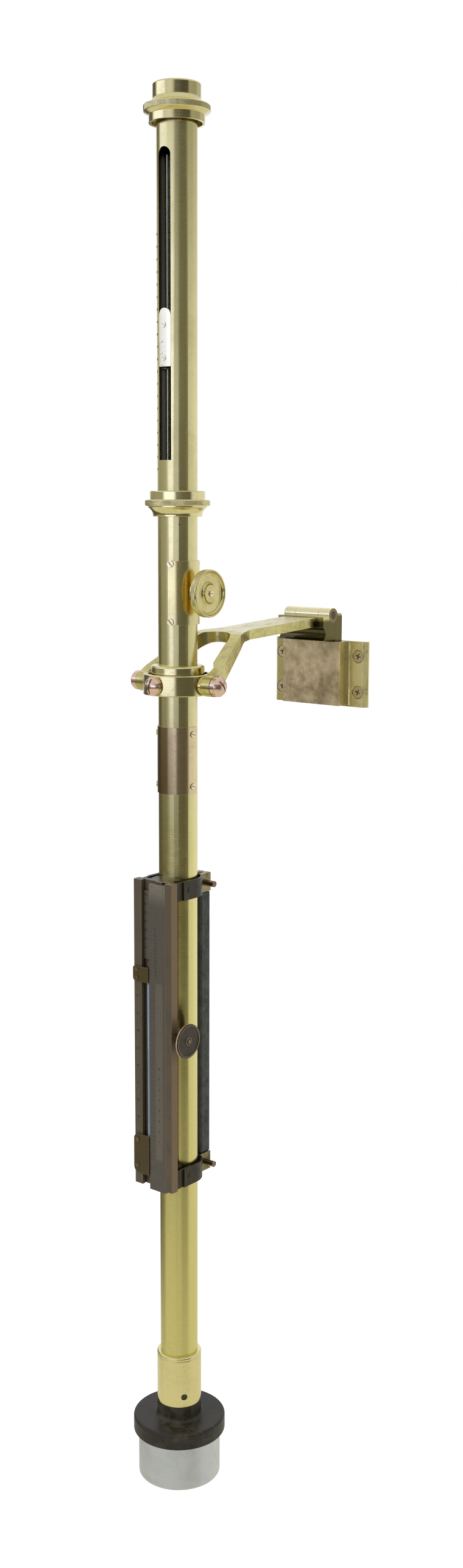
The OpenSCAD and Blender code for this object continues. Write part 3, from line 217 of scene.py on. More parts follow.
def finish(name, clean, stain, cover=0.4, patches=60.0, polish=0.2, dull=0.4, stretch=(300, 300, 9000),
           depth=0.002 * mm, soft=0.2 * mm, rubbed=None, metallic=1.0, oxide=0.0, dirt_and_shade_reach=None, extra=()):
    """A surface with its tool marks, its tarnish, its softened edges and dirt and painted shade in its
    crevices. Returns the material.
    """
    material, tree, shader = new_material(name, dict(extra, Metallic=metallic))
    stained = group(tree, "tarnish", Metal=(*clean, 1), Stain=(*stain, 1), Cover=cover, Patches=patches)
    edges = group(tree, "soft_edges", Width=soft)
    edges.name = "soft_edges"
    marks = group(tree, "tool_marks", Stretch=stretch)
    colour = stained.outputs["Colour"]
    if rubbed:
        worn_share = 0.7
        worn = compute(tree, "MULTIPLY", edges.outputs["Mask"], worn_share)
        colour = mix_colours(tree, worn, colour, (*rubbed, 1))
    # Dirt and painted shade: a dark brown laid where ambient occlusion finds corners and recesses.
    if dirt_and_shade_reach:
        dirt_and_shade_colour, dirt_and_shade_share = (0.045, 0.036, 0.018, 1), 0.85
        dirt_and_shade = group(tree, "crevices", Reach=dirt_and_shade_reach)
        colour = mix_colours(tree, compute(tree, "MULTIPLY", dirt_and_shade.outputs["Mask"], dirt_and_shade_share), colour,
                             dirt_and_shade_colour)
    rough = node(tree, "MapRange", {"Value": stained.outputs["Mask"], "To Min": polish,
                                    "To Max": dull}).outputs[0]
    grain = compute(tree, "MULTIPLY", compute(tree, "SUBTRACT", marks.outputs["Height"], 0.5), 0.25)
    bump = node(tree, "Bump", {"Height": marks.outputs["Height"], "Normal": edges.outputs["Normal"],
                               "Strength": 1.0, "Distance": depth}).outputs[0]
    if oxide:
        bare = node(tree, "MapRange", {"Value": stained.outputs["Mask"], "To Min": metallic,
                                       "To Max": metallic - oxide})
        tree.links.new(bare.outputs[0], shader.inputs["Metallic"])
    fill(tree, shader, {"Base Color": colour, "Roughness": compute(tree, "ADD", rough, grain),
                        "Normal": bump})
    return material


def dress(material, *nodes):
    """Gives CAD nodes a material."""
    for name in nodes:
        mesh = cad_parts[name].data
        mesh.materials.clear()
        mesh.materials.append(material)


def mask_in(material, name, **inputs):
    """Places a group in a material and returns its mask."""
    return group(material.node_tree, name, **inputs).outputs["Mask"]


def overlay(material, mask, colour, share=1.0):
    """Lays a second colour, darker or paler, over a material's own where a mask says."""
    tree = material.node_tree
    socket = tree.nodes["Principled BSDF"].inputs["Base Color"]
    below = socket.links[0].from_socket
    over = mix_colours(tree, compute(tree, "MULTIPLY", mask, share), below, (*colour, 1))
    tree.links.new(over, socket)


def overlay_box(material, colour, share=1.0, low=(-far, -far, -far), high=(far, far, far), soft=1 * mm):
    """Lays a second colour over a material inside a box, which is endless on the sides that aren't given."""
    overlay(material, mask_in(material, "inside_box", Low=low, High=high, Soft=soft), colour, share)


pale_brass = (0.80, 0.71, 0.33)
plate_brass = finish("plate_brass", (0.72, 0.61, 0.24), (0.36, 0.30, 0.11), cover=0.5, patches=45,
                     polish=0.24, dull=0.36, stretch=(2600, 2600, 70), depth=0.006 * mm, soft=0.35 * mm,
                     rubbed=(0.95, 0.86, 0.52), metallic=0.92, oxide=0.35, dirt_and_shade_reach=2 * mm)
bracket_low, bracket_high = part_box("wall_bracket")
plate_tree = plate_brass.node_tree
pocket_front = mask_in(plate_brass, "inside_box", Low=(-far, bracket_low.y - 1 * mm, -far),
                       High=(far, bracket_low.y + 1.2 * mm, far), Soft=0.2 * mm)
worn_edges = plate_tree.nodes["soft_edges"].outputs["Mask"]
unworn = compute(plate_tree, "MAXIMUM", compute(plate_tree, "SUBTRACT", pocket_front, worn_edges), 0.0)
blotches = mask_in(plate_brass, "tarnish", Cover=0.47, Patches=15.0)
nicks = mask_in(plate_brass, "scratches", Turn=(0, radians(74), 0), Stretch=(3600, 3600, 160))
overlay_box(plate_brass, (0.96, 0.84, 0.40), 0.7, low=(bracket_high.x - 14 * mm, -far, -far), soft=3 * mm)
overlay(plate_brass, unworn, (0.95, 0.78, 0.48), 0.9)
overlay(plate_brass, compute(plate_tree, "MULTIPLY", unworn, blotches), (0.28, 0.19, 0.10), 0.85)
overlay(plate_brass, compute(plate_tree, "MULTIPLY", unworn, nicks), (0.85, 0.74, 0.52), 0.25)
screw_low, screw_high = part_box("wall_screws")
head_radius = 4.2 * mm
dirt_and_shade_width = 0.6 * mm
for x in (screw_low.x + head_radius, screw_high.x - head_radius):
    for z in (screw_low.z + head_radius, screw_high.z - head_radius):
        countersink = mask_in(plate_brass, "inside_rod", Centre=(x, 0, z), Across=(1, 0, 1),
                              Radius=head_radius + dirt_and_shade_width)
        # Dirt and painted shade: a dark ring laid round each screw head in its countersink.
        overlay(plate_brass, countersink, (0.16, 0.12, 0.04), 0.75)
dress(plate_brass, "wall_bracket")


# Wall screws: four brass screws with cross recesses, driven flush in the plate's countersinks.
# They are newer than the plate, so they are paler and cleaner than it.
screw_brass = finish("screw_brass", (0.96, 0.82, 0.50), (0.62, 0.49, 0.22), cover=0.35, patches=300,
                     polish=0.28, dull=0.45, stretch=(900, 900, 900), depth=0.003 * mm, soft=0.12 * mm,
                     rubbed=(0.95, 0.87, 0.55), dirt_and_shade_reach=1.3 * mm)
dress(screw_brass, "wall_screws")


# Tongue: the brass leaf that drops into the pocket, with the middle knuckle of the hinge brazed to it.
# The knuckle has a painted highlight, and the leaf below it is painted nearly black with shade.
def middle(name):
    """The middle of a CAD node's box."""
    low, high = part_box(name)
    return (low + high) / 2


hinge_axis = middle("hinge_pin")
knuckle_radius = 5.2 * mm


def oil_heel(material, low, high, side):
    """Paints shade on a box of a material, less dark on its right side, and a highlight on the knuckle round
    the hinge pin.
    """
    tree = material.node_tree
    # Colours of the painted shade on the heel and on its right side.
    heel_shade_colour, heel_side_shade_colour = (0.045, 0.038, 0.022), (0.150, 0.124, 0.040)
    heel = mask_in(material, "inside_box", Low=low, High=high, Soft=2.5 * mm)
    knuckle = mask_in(material, "inside_rod", Centre=hinge_axis, Across=(0, 1, 1), Radius=knuckle_radius)
    shaded_heel = compute(tree, "MULTIPLY", heel, compute(tree, "SUBTRACT", 1.0, knuckle))
    # Painted highlight on the knuckle round the hinge pin.
    overlay(material, knuckle, (1.0, 0.92, 0.56), 0.7)
    # Painted shade on the heel below the knuckle.
    overlay(material, shaded_heel, heel_shade_colour, 0.9)
    flank = mask_in(material, "inside_box", Low=(side - 0.3 * mm, -far, -far), High=(far, far, far),
                    Soft=0.2 * mm)
    whole_side = compute(tree, "MULTIPLY", compute(tree, "MAXIMUM", shaded_heel, knuckle), flank)
    # Painted shade, less dark, on the right side of the heel and knuckle.
    overlay(material, whole_side, heel_side_shade_colour, 0.9)


tongue_brass = finish("tongue_brass", (0.74, 0.66, 0.31), (0.46, 0.40, 0.18), cover=0.42, patches=90,
                      polish=0.16, dull=0.34, stretch=(200, 5000, 5000), rubbed=pale_brass, dirt_and_shade_reach=2.5 * mm)
oil_heel(tongue_brass, (-far, -far, -far), (far, far, hinge_axis.z + 1 * mm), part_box("hinge_leaf")[1].x)
dress(tongue_brass, "hinge_leaf")


# Fork arm: a brass casting, filed and polished by hand. It forks round the gimbal and hinges on the tongue.
# Its long faces are olive with brown clouds, its edges are rubbed pale, its heel is painted black with shade
# and its knuckle has a painted highlight.
arm_brass = finish("arm_brass", (0.70, 0.62, 0.24), (0.46, 0.39, 0.13), cover=0.46, patches=42, polish=0.2,
                   dull=0.34, stretch=(1800, 60, 1800), depth=0.003 * mm, soft=0.35 * mm,
                   rubbed=(0.92, 0.84, 0.50), dirt_and_shade_reach=2.5 * mm)
heel_length = 17 * mm
oil_heel(arm_brass, (-far, hinge_axis.y - heel_length, -far), (far, far, hinge_axis.z - 2.2 * mm),
         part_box("hinge_pin")[1].x)
dress(arm_brass, "fork_arm")


# Hinge pin: a turned bronze pin, pressed through the outer knuckles and dressed off flush with them.
# Its ends are a flat brown.
pin_bronze = finish("pin_bronze", (0.17, 0.11, 0.065), (0.10, 0.07, 0.045), cover=0.5, patches=400,
                    polish=0.35, dull=0.5, stretch=(4000, 4000, 4000), depth=0.002 * mm)
dress(pin_bronze, "hinge_pin")


# Pivot screws: four domed and slotted screws of a pinkish copper alloy, turned and lightly polished.
# Two carry the ring in the fork and two carry the barometer in the ring.
pivot_copper = finish("pivot_copper", (0.86, 0.63, 0.47), (0.66, 0.43, 0.30), cover=0.42, patches=160,
                      polish=0.2, dull=0.36, stretch=(2500, 2500, 2500), depth=0.002 * mm, soft=0.15 * mm,
                      rubbed=(0.95, 0.72, 0.56), dirt_and_shade_reach=0.8 * mm)
dress(pivot_copper, "outer_pivot_screws", "inner_pivot_screws")


# Gimbal ring and collar: turned from brass bar and kept bright, with the fine line of the lathe still on
# them. The collar is soldered to the case, so it swings with it in the ring.
bright_brass = finish("bright_brass", (0.82, 0.73, 0.36), (0.68, 0.58, 0.25), cover=0.36, patches=70,
                      polish=0.17, dull=0.26, stretch=(150, 150, 7000), depth=0.0012 * mm, soft=0.3 * mm)
dress(bright_brass, "gimbal_ring", "gimbal_collar")


# Case tube: a drawn brass tube one inch across, turned on the outside with a fine even line.
# Its lower half is painted a deeper yellow, a painted warm reflection. Its bore is brown and dull, a dark
# ground for the mercury.
tube_low, tube_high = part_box("case_tube")
tube_radius = (tube_high.x - tube_low.x) / 2
axis_y = (tube_low.y + tube_high.y) / 2
case_brass, case_stain = (0.79, 0.71, 0.34), (0.72, 0.64, 0.29)
lathe_line = (140, 140, 8000)
tube_brass = finish("tube_brass", case_brass, case_stain, cover=0.46, patches=24, polish=0.22, dull=0.28,
                    stretch=lathe_line, depth=0.0008 * mm, soft=0.12 * mm)
bore = mask_in(tube_brass, "inside_rod", Centre=(0, axis_y, 0), Across=(1, 1, 0),
               Radius=tube_radius - 0.2 * mm)
# Painted reflection: a deeper yellow on the tube's lower half.
overlay_box(tube_brass, (0.80, 0.71, 0.27), high=(far, far, -20 * mm), soft=120 * mm)
overlay(tube_brass, bore, (0.075, 0.065, 0.046))
dress(tube_brass, "case_tube")


# Case scale: short lines engraved round the tube at the left of the slot, a millibar apart, and filled with
# black wax. Every fifth line is longer, every tenth is longest and has its number beside it.
millibar = 0.75006 * mm
cistern_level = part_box("lid_washer")[0].z - 10 * mm
scale_first, scale_last = 890, 1080
scale_line = 0.14 * mm
scale_number = 1.8 * mm
number_bearing = 42


def deselect():
    """Leaves edit mode and selects nothing."""
    if bpy.context.object and bpy.context.object.mode == "EDIT":
        bpy.ops.object.mode_set(mode="OBJECT")
    bpy.ops.object.select_all(action="DESELECT")


def edit(piece):
    """Makes a piece the active one and goes into edit mode."""
    bpy.context.view_layer.objects.active = piece
    if piece.mode != "EDIT":
        bpy.ops.object.mode_set(mode="EDIT")


def pick(piece, test):
    """Goes into edit mode with only those vertices selected that pass the test."""
    edit(piece)
    bpy.ops.mesh.select_mode(type="VERT")
    bpy.ops.mesh.select_all(action="DESELECT")
    bpy.ops.object.mode_set(mode="OBJECT")
    for vertex in piece.data.vertices:
        vertex.select = test(vertex.co)
    bpy.ops.object.mode_set(mode="EDIT")


def close(piece):
    """Ends the modelling of a piece: doubles merged, normals outward, place in the mesh."""
    edit(piece)
    bpy.ops.mesh.select_all(action="SELECT")
    bpy.ops.mesh.remove_doubles(threshold=0.0005 * mm)
    bpy.ops.mesh.normals_make_consistent(inside=False)
    bpy.ops.object.mode_set(mode="OBJECT")
    bpy.ops.object.transform_apply(location=True, rotation=True, scale=True)


def modify(piece, kind, **settings):
    """Adds a modifier and applies it at once."""
    bpy.context.view_layer.objects.active = piece
    made = piece.modifiers.new(kind.lower(), kind)
    for key, value in settings.items():
        setattr(made, key, value)
    bpy.ops.object.modifier_apply(modifier=made.name)


def ride(piece, name, body, material):
    """Names a finished piece, gives it its material and makes it move with its body."""
    piece.name = name
    piece.data.materials.clear()
    piece.data.materials.append(material)
    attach(piece, body)


def ride_marks(marks, name, body, wax):
    """Joins the lines and numbers of a scale to one piece, which moves with its body."""
    deselect()
    for mark in marks:
        mark.select_set(True)
    bpy.context.view_layer.objects.active = marks[0]
    bpy.ops.object.join()
    ride(marks[0], name, body, wax)


def ruled_round_tube(start, end, height, width, radius, pitch, count):
    """Equal lines one above another, each round the tube between two bearings, in degrees to the left."""
    filled = 0.03 * mm
    deselect()
    bpy.ops.mesh.primitive_cylinder_add(vertices=180, radius=radius, depth=width, end_fill_type="NOTHING",
                                        location=(0, axis_y, height))
    line = bpy.context.object
    bpy.ops.object.transform_apply(location=True, rotation=True, scale=True)
    bpy.ops.object.mode_set(mode="EDIT")
    for bearing, side in ((start, 1), (end, -1)):
        across = radians(bearing)
        bpy.ops.mesh.select_all(action="SELECT")
        bpy.ops.mesh.bisect(plane_co=(0, axis_y, height), clear_inner=True,
                            plane_no=(-side * cos(across), side * sin(across), 0))
    bpy.ops.object.mode_set(mode="OBJECT")
    modify(line, "SOLIDIFY", thickness=filled, offset=0)
    modify(line, "ARRAY", count=count, use_relative_offset=False, use_constant_offset=True,
           constant_offset_displace=(0, 0, pitch))
    return line


def numeral(number_shown, height):
    """A plain number as a thin mesh at the origin, facing up."""
    deselect()
    bpy.ops.object.text_add()
    number = bpy.context.object
    number.data.body = str(number_shown)
    number.data.size = height
    number.data.align_x = "CENTER"
    number.data.align_y = "CENTER"
    number.data.extrude = 0.02 * mm
    number.data.resolution_u = 2
    bpy.ops.object.convert(target="MESH")
    return number


def set_down(piece, place, turn):
    """Puts a mesh that was made at the origin in its place."""
    deselect()
    piece.select_set(True)
    bpy.context.view_layer.objects.active = piece
    piece.location = place
    piece.rotation_euler = turn
    bpy.ops.object.transform_apply(location=True, rotation=True, scale=True)
    return piece


def number_on_tube(number_shown, height, bearing, z, radius):
    """A number on the tube, its middle at a bearing in degrees left of the front."""
    across = radians(bearing)
    place = (-radius * sin(across), axis_y - radius * cos(across), z)
    return set_down(numeral(number_shown, height), place, (pi / 2, 0, -across))


black_wax = finish("black_wax", (0.012, 0.011, 0.010), (0.03, 0.026, 0.02), polish=0.5, dull=0.7,
                   metallic=0.0, stretch=(900, 900, 900))

scale_marks = []
for every, start, end in ((1, 22.9, 28), (5, 28, 30.5), (10, 28, 33)):
    count = (scale_last - scale_first) // every + 1
    scale_marks.append(ruled_round_tube(start, end, cistern_level + scale_first * millibar, scale_line,
                                        tube_radius, every * millibar, count))
for reading in range(scale_first, scale_last + 1, 10):
    height = cistern_level + reading * millibar
    scale_marks.append(number_on_tube(reading, scale_number, number_bearing, height, tube_radius))
ride_marks(scale_marks, "case_scale", "barometer", black_wax)


# Glass tube, mercury and cushions: the barometer's glass, standing in leather cushions inside the case.
# The mercury stands to the sighting edge of the vernier.
def glass(name, tint, rough):
    """Clear glass with a slight ripple along it."""
    material, tree, shader = new_material(name, {"Base Color": (*tint, 1), "Transmission Weight": 1.0,
                                                 "IOR": 1.47})
    ripple = group(tree, "tool_marks", Stretch=(400, 400, 30)).outputs["Height"]
    bump = node(tree, "Bump", {"Height": ripple, "Distance": 0.002 * mm}).outputs[0]
    worn = node(tree, "MapRange", {"Value": ripple, "To Min": rough, "To Max": rough * 2}).outputs[0]
    fill(tree, shader, {"Roughness": worn, "Normal": bump})
    return material


dress(glass("clear_glass", (0.90, 0.95, 0.92), 0.02), "glass_tube")
dress(finish("quicksilver", (0.78, 0.78, 0.80), (0.70, 0.70, 0.72), polish=0.04, dull=0.07,
             stretch=(60, 60, 60), depth=0.002 * mm), "mercury")
oiled_leather = finish("oiled_leather", (0.16, 0.085, 0.04), (0.07, 0.04, 0.02), cover=0.5, patches=300,
                       polish=0.55, dull=0.75, stretch=(2500, 2500, 2500), depth=0.05 * mm, metallic=0.0)
dress(oiled_leather, "tube_cushions", "lid_washer")


# Cap: turned from solid brass and polished, with a cove above its flange and a skirt below it.
# The flange's rim is milled with fine upright furrows, as is the middle flange's.
dress(bright_brass, "top_cap")
milled_brass = finish("milled_brass", (0.74, 0.67, 0.33), (0.50, 0.44, 0.20), cover=0.45, patches=160,
                      polish=0.24, dull=0.38, stretch=(500, 500, 500), depth=0.003 * mm, soft=0.1 * mm)


def milled_rim(centre, along, radius, width, furrows, crest=0.09 * mm):
    """A band of straight furrows round a rim, its two edges turned in to meet the rim's face."""
    root, rounding = 0.02 * mm, 0.3 * mm
    sunk, hidden = radius - 0.35 * mm, radius - 1 * mm
    deselect()
    turn = (0, pi / 2, 0) if along.x else (0, 0, 0)
    bpy.ops.mesh.primitive_cylinder_add(vertices=2 * furrows, radius=radius + crest, depth=width,
                                        end_fill_type="NOTHING", location=centre, rotation=turn)
    band = bpy.context.object
    bpy.ops.object.transform_apply(location=True, rotation=True, scale=True)
    first = Vector((0, 1, 0))
    second = along.cross(first)

    def spoke(co):
        away = co - centre
        return round(atan2(away.dot(second), away.dot(first)) * furrows / pi)

    def to_end(co):
        return (co - centre).dot(along)

    def narrow(share):
        bpy.ops.transform.resize(value=tuple(1 if part else share for part in along), center_override=centre)

    pick(band, lambda co: spoke(co) % 2 == 1)
    narrow((radius + root) / (radius + crest))
    for side in (-1, 1):
        pick(band, lambda co: abs(to_end(co) - side * width / 2) < 0.01 * mm)
        bpy.ops.mesh.extrude_region_move(TRANSFORM_OT_translate={"value": along * side * rounding})
        narrow(sunk / radius)
        bpy.ops.mesh.extrude_region_move(TRANSFORM_OT_translate={"value": (0, 0, 0)})
        narrow(hidden / radius)
    pick(band, lambda co: abs(to_end(co)) > width / 2 + 0.2 * mm
         and (co - centre - along * to_end(co)).length < radius - 0.8 * mm)
    bpy.ops.mesh.bridge_edge_loops()
    close(band)
    return band


cap_low, cap_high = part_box("top_cap")
cap_rim = Vector((0, axis_y, cap_high.z - 14.8 * mm))
upright = Vector((0, 0, 1))
flange_furrows = 320
ride(milled_rim(cap_rim, upright, (cap_high.x - cap_low.x) / 2, 3.0 * mm, flange_furrows),
     "cap_milling", "barometer", milled_brass)
dress(screw_brass, "cushion_screws")


# Middle flange: a turned brass ring at the slot's foot, with a groove for a glass shield.
# It is polished above and below its milled rim.
dress(bright_brass, "middle_flange")
ring_low, ring_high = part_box("middle_flange")
middle_rim = Vector((0, axis_y, ring_high.z - 7.4 * mm))
ride(milled_rim(middle_rim, upright, (ring_high.x - ring_low.x) / 2, 2.6 * mm, flange_furrows),
     "middle_milling", "barometer", milled_brass)


# Vernier: a pale brass plate that slides in the slot on a sleeve inside the case, held by two small screws.
# Its left edge has twenty divisions, which are read against the case scale.
vernier_brass = finish("vernier_brass", (0.99, 0.96, 0.80), (0.95, 0.91, 0.72), cover=0.4, patches=90,
                       polish=0.3, dull=0.38, stretch=(200, 200, 6000), depth=0.0015 * mm, soft=0.1 * mm,
                       metallic=0.7, dirt_and_shade_reach=0.35 * mm)
dress(vernier_brass, "vernier_plate", "vernier_screws")
dress(bright_brass, "vernier_sleeve")
rack_brass = finish("rack_brass", (0.55, 0.45, 0.20), (0.20, 0.15, 0.07), cover=0.5, patches=200, polish=0.3,
                    dull=0.5, stretch=(4000, 400, 4000), soft=0.08 * mm)
dress(rack_brass, "vernier_rack", "vernier_pinion", "pinion_bush")

vernier_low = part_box("vernier_plate")[0]
vernier_radius = axis_y - vernier_low.y
divisions = 20
division = 0.95 * millibar
vernier_line = 0.13 * mm
vernier_zero = vernier_low.z + 0.12 * mm
vernier_number = 1.5 * mm
vernier_number_bearing = 6.5
vernier_number_low, vernier_number_pitch = vernier_low.z + 0.5 * mm, 0.72 * mm
vernier_marks = []
for every, start, end in ((1, 16.5, 21.8), (5, 14, 16.5), (10, 11.5, 16.5)):
    vernier_marks.append(ruled_round_tube(start, end, vernier_zero, vernier_line, vernier_radius,
                                          every * division, divisions // every + 1))
for step in range(0, divisions + 1, 10):
    height = vernier_number_low + step * vernier_number_pitch
    vernier_marks.append(number_on_tube(step // 2, vernier_number, vernier_number_bearing, height,
                                        vernier_radius))
ride_marks(vernier_marks, "vernier_marks", "vernier", black_wax)


# Pinion saddle: a sheet brass plate bent round the case under the vernier's knob, a screw at each corner.
# It has a painted orange reflection behind the knob.
saddle_brass = finish("saddle_brass", case_brass, case_stain, cover=0.46, patches=24, polish=0.22, dull=0.28,
                      stretch=lathe_line, depth=0.0015 * mm, soft=0.15 * mm, dirt_and_shade_reach=0.5 * mm)
knob_low, knob_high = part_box("vernier_knob")
knob_centre = middle("vernier_knob")
orange_reflection_reach = 16 * mm
# Painted reflection: an orange patch on the saddle behind the knob.
overlay_box(saddle_brass, (0.96, 0.66, 0.12), 0.9, soft=11 * mm,
            low=(tube_radius * 0.25, knob_centre.y - orange_reflection_reach, knob_centre.z - orange_reflection_reach),
            high=(far, knob_centre.y + orange_reflection_reach, knob_centre.z + orange_reflection_reach))
dress(saddle_brass, "pinion_saddle")
dress(screw_brass, "saddle_screws")


# Vernier knob: turned brass with a dished face, a boss, a slotted screw and a rim milled straight across.
# Its face is softly polished and its edges are rubbed pale.
knob_brass = finish("knob_brass", (0.72, 0.62, 0.26), (0.56, 0.47, 0.19), cover=0.42, patches=90, polish=0.2,
                    dull=0.28, stretch=(300, 300, 300), depth=0.002 * mm, soft=0.3 * mm, rubbed=pale_brass)
dress(knob_brass, "vernier_knob")
dress(screw_brass, "vernier_knob_screw")
knob_rim = Vector((knob_high.x - 2.6 * mm, knob_centre.y, knob_centre.z))
sideways = Vector((1, 0, 0))
ride(milled_rim(knob_rim, sideways, (knob_high.z - knob_low.z) / 2, 2.8 * mm, 220),
     "vernier_knob_milling", "vernier_drive", milled_brass)


# Data plate: a bare sheet of bronze bent round the case and held by four screws.
# It has gone a coppery brown, and is darker over its left part.
plate_bronze = finish("plate_bronze", (0.80, 0.65, 0.36), (0.62, 0.48, 0.25), cover=0.42, patches=55,
                      polish=0.2, dull=0.28, stretch=(160, 160, 6000), depth=0.002 * mm, soft=0.12 * mm,
                      rubbed=(0.85, 0.66, 0.42), dirt_and_shade_reach=0.6 * mm)
overlay_box(plate_bronze, (0.30, 0.20, 0.085), 0.8, high=(9 * mm, far, far), soft=7 * mm)
dress(plate_bronze, "data_plate")
dress(screw_brass, "data_plate_screws")


# Cistern: a brass sleeve with a rolled edge joins the case to an ebonite lid, and the lid closes an iron
# cup. The iron is bare, turned and finely pitted, and the ebonite has a brown bloom.
sleeve_brass = finish("sleeve_brass", (0.84, 0.75, 0.36), (0.78, 0.69, 0.31), cover=0.4, patches=60,
                      polish=0.14, dull=0.18, stretch=(140, 140, 7000), depth=0.0008 * mm, soft=0.2 * mm)
dress(sleeve_brass, "cistern_sleeve")
dark_screw = finish("dark_screw", (0.16, 0.13, 0.08), (0.06, 0.05, 0.035), patches=300, polish=0.35,
                    dull=0.55, stretch=(2000, 2000, 2000))
dress(dark_screw, "sleeve_set_screw")

ebonite = finish("ebonite", (0.018, 0.015, 0.009), (0.058, 0.050, 0.032), cover=0.42, patches=120,
                 polish=0.38, dull=0.6, stretch=(700, 700, 2500), depth=0.006 * mm, soft=0.5 * mm,
                 metallic=0.0, extra={"Specular IOR Level": 0.3})
dress(ebonite, "cistern_lid")

cup_iron = finish("cup_iron", (0.68, 0.70, 0.72), (0.62, 0.64, 0.65), cover=0.42, patches=80, polish=0.32,
                  dull=0.4, stretch=(120, 120, 3500), depth=0.003 * mm, soft=0.4 * mm)
place = node(cup_iron.node_tree, "TexCoord").outputs["Object"]
pits = node(cup_iron.node_tree, "TexVoronoi", {"Vector": place, "Scale": 420.0}).outputs["Distance"]
pitted = node(cup_iron.node_tree, "MapRange", {"Value": pits, "From Min": 0.10, "From Max": 0.02}).outputs[0]
overlay(cup_iron, pitted, (0.12, 0.12, 0.12), 0.8)
dress(cup_iron, "cistern_cup")


# Correction slide: a bronze back plate with two rails, and a plate that a pinion moves up and down between
# them. All of it has a brown patina, warmer on the right rail's side, greyer on the moving plate and thumbed
# pale at that plate's top.
slide_bronze = finish("slide_bronze", (0.140, 0.110, 0.068), (0.078, 0.064, 0.042), cover=0.5, patches=60,
                      polish=0.32, dull=0.46, stretch=(1800, 1800, 60), depth=0.003 * mm, soft=0.25 * mm,
                      rubbed=(0.62, 0.42, 0.22), metallic=0.55, oxide=0.25, dirt_and_shade_reach=2.5 * mm)
dress(slide_bronze, "slide_body", "slide_pinion_housing")
slide_low, slide_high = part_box("slide_body")
overlay_box(slide_bronze, (0.185, 0.122, 0.058), 0.8, low=(slide_high.x - 0.5 * mm, -far, -far),
            soft=0.1 * mm)

plate_patina = finish("plate_patina", (0.115, 0.103, 0.082), (0.085, 0.072, 0.055), cover=0.45, patches=40,
                      polish=0.3, dull=0.44, stretch=(1800, 1800, 60), depth=0.003 * mm, soft=0.18 * mm,
                      rubbed=(0.50, 0.34, 0.23), metallic=0.5, oxide=0.2, dirt_and_shade_reach=1.2 * mm)
scuffs = mask_in(plate_patina, "scratches", Turn=(0, radians(62), 0), Stretch=(3800, 3800, 200))
overlay(plate_patina, scuffs, (0.27, 0.24, 0.19), 0.4)
overlay_box(plate_patina, (0.25, 0.225, 0.175), 0.7, low=(-far, -far, slide_high.z - 16 * mm), soft=12 * mm)
dress(plate_patina, "slide_plate")
inlay_patina = finish("inlay_patina", (0.15, 0.132, 0.100), (0.105, 0.092, 0.070), cover=0.45, patches=70,
                      polish=0.32, dull=0.44, stretch=(1800, 1800, 90), depth=0.003 * mm, soft=0.12 * mm,
                      metallic=0.5, oxide=0.2)
dress(inlay_patina, "slide_inlay")
index_patina = finish("index_patina", (0.130, 0.118, 0.090), (0.085, 0.078, 0.060), cover=0.45, patches=70,
                      polish=0.3, dull=0.42, stretch=(1800, 1800, 90), depth=0.002 * mm, soft=0.15 * mm,
                      rubbed=(0.75, 0.70, 0.55), metallic=0.5, oxide=0.2, dirt_and_shade_reach=1 * mm)
dress(index_patina, "index_scale")


# Slide scales: lines and plain numbers engraved on the index scale, the moving plate, its inlay and the left
# rail, filled with black wax and a little worn.
def ruled_line(x_from, x_to, y, z, width):
    """One engraved line on a face that looks forward, its fill a little narrower at the top."""
    centre = ((x_from + x_to) / 2, y, z)
    deselect()
    bpy.ops.mesh.primitive_plane_add(size=1, location=centre, rotation=(pi / 2, 0, 0))
    line = bpy.context.object
    line.scale = (x_to - x_from, width, 1)
    bpy.ops.object.transform_apply(location=True, rotation=True, scale=True)
    bpy.ops.object.mode_set(mode="EDIT")
    bpy.ops.mesh.select_all(action="SELECT")
    stands_out = 0.025 * mm
    bpy.ops.mesh.extrude_region_move(TRANSFORM_OT_translate={"value": (0, -stands_out, 0)})
    bpy.ops.transform.resize(value=(0.96, 1, 0.6), center_override=centre)
    close(line)
    return line


def ladder(x_from, x_to, y, z, pitch, count, width=0.16 * mm):
    """Equal lines one above another, downwards from z."""
    line = ruled_line(x_from, x_to, y, z, width)
    modify(line, "ARRAY", count=count, use_relative_offset=False, use_constant_offset=True,
           constant_offset_displace=(0, 0, -pitch))
    return line


def number_on_face(number_shown, height, x, y, z):
    """A number on a face that looks forward."""
    return set_down(numeral(number_shown, height), (x, y, z), (pi / 2, 0, 0))


index_low, index_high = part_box("index_scale")
index_top = index_high.z - 3 * mm
index_pitch = 1.18 * mm
index_outer, index_inner = index_high.x - 3.6 * mm, index_high.x - 2.3 * mm
index_marks = [ladder(index_inner, index_high.x - 0.2 * mm, index_low.y, index_top, index_pitch, 35),
               ladder(index_outer, index_inner, index_low.y, index_top, 5 * index_pitch, 7)]
for step in range(7):
    index_marks.append(number_on_face(70 - 10 * step, 2.4 * mm, index_low.x + 1.7 * mm, index_low.y,
                                      index_top - step * 5 * index_pitch))
ride_marks(index_marks, "index_marks", "barometer", black_wax)

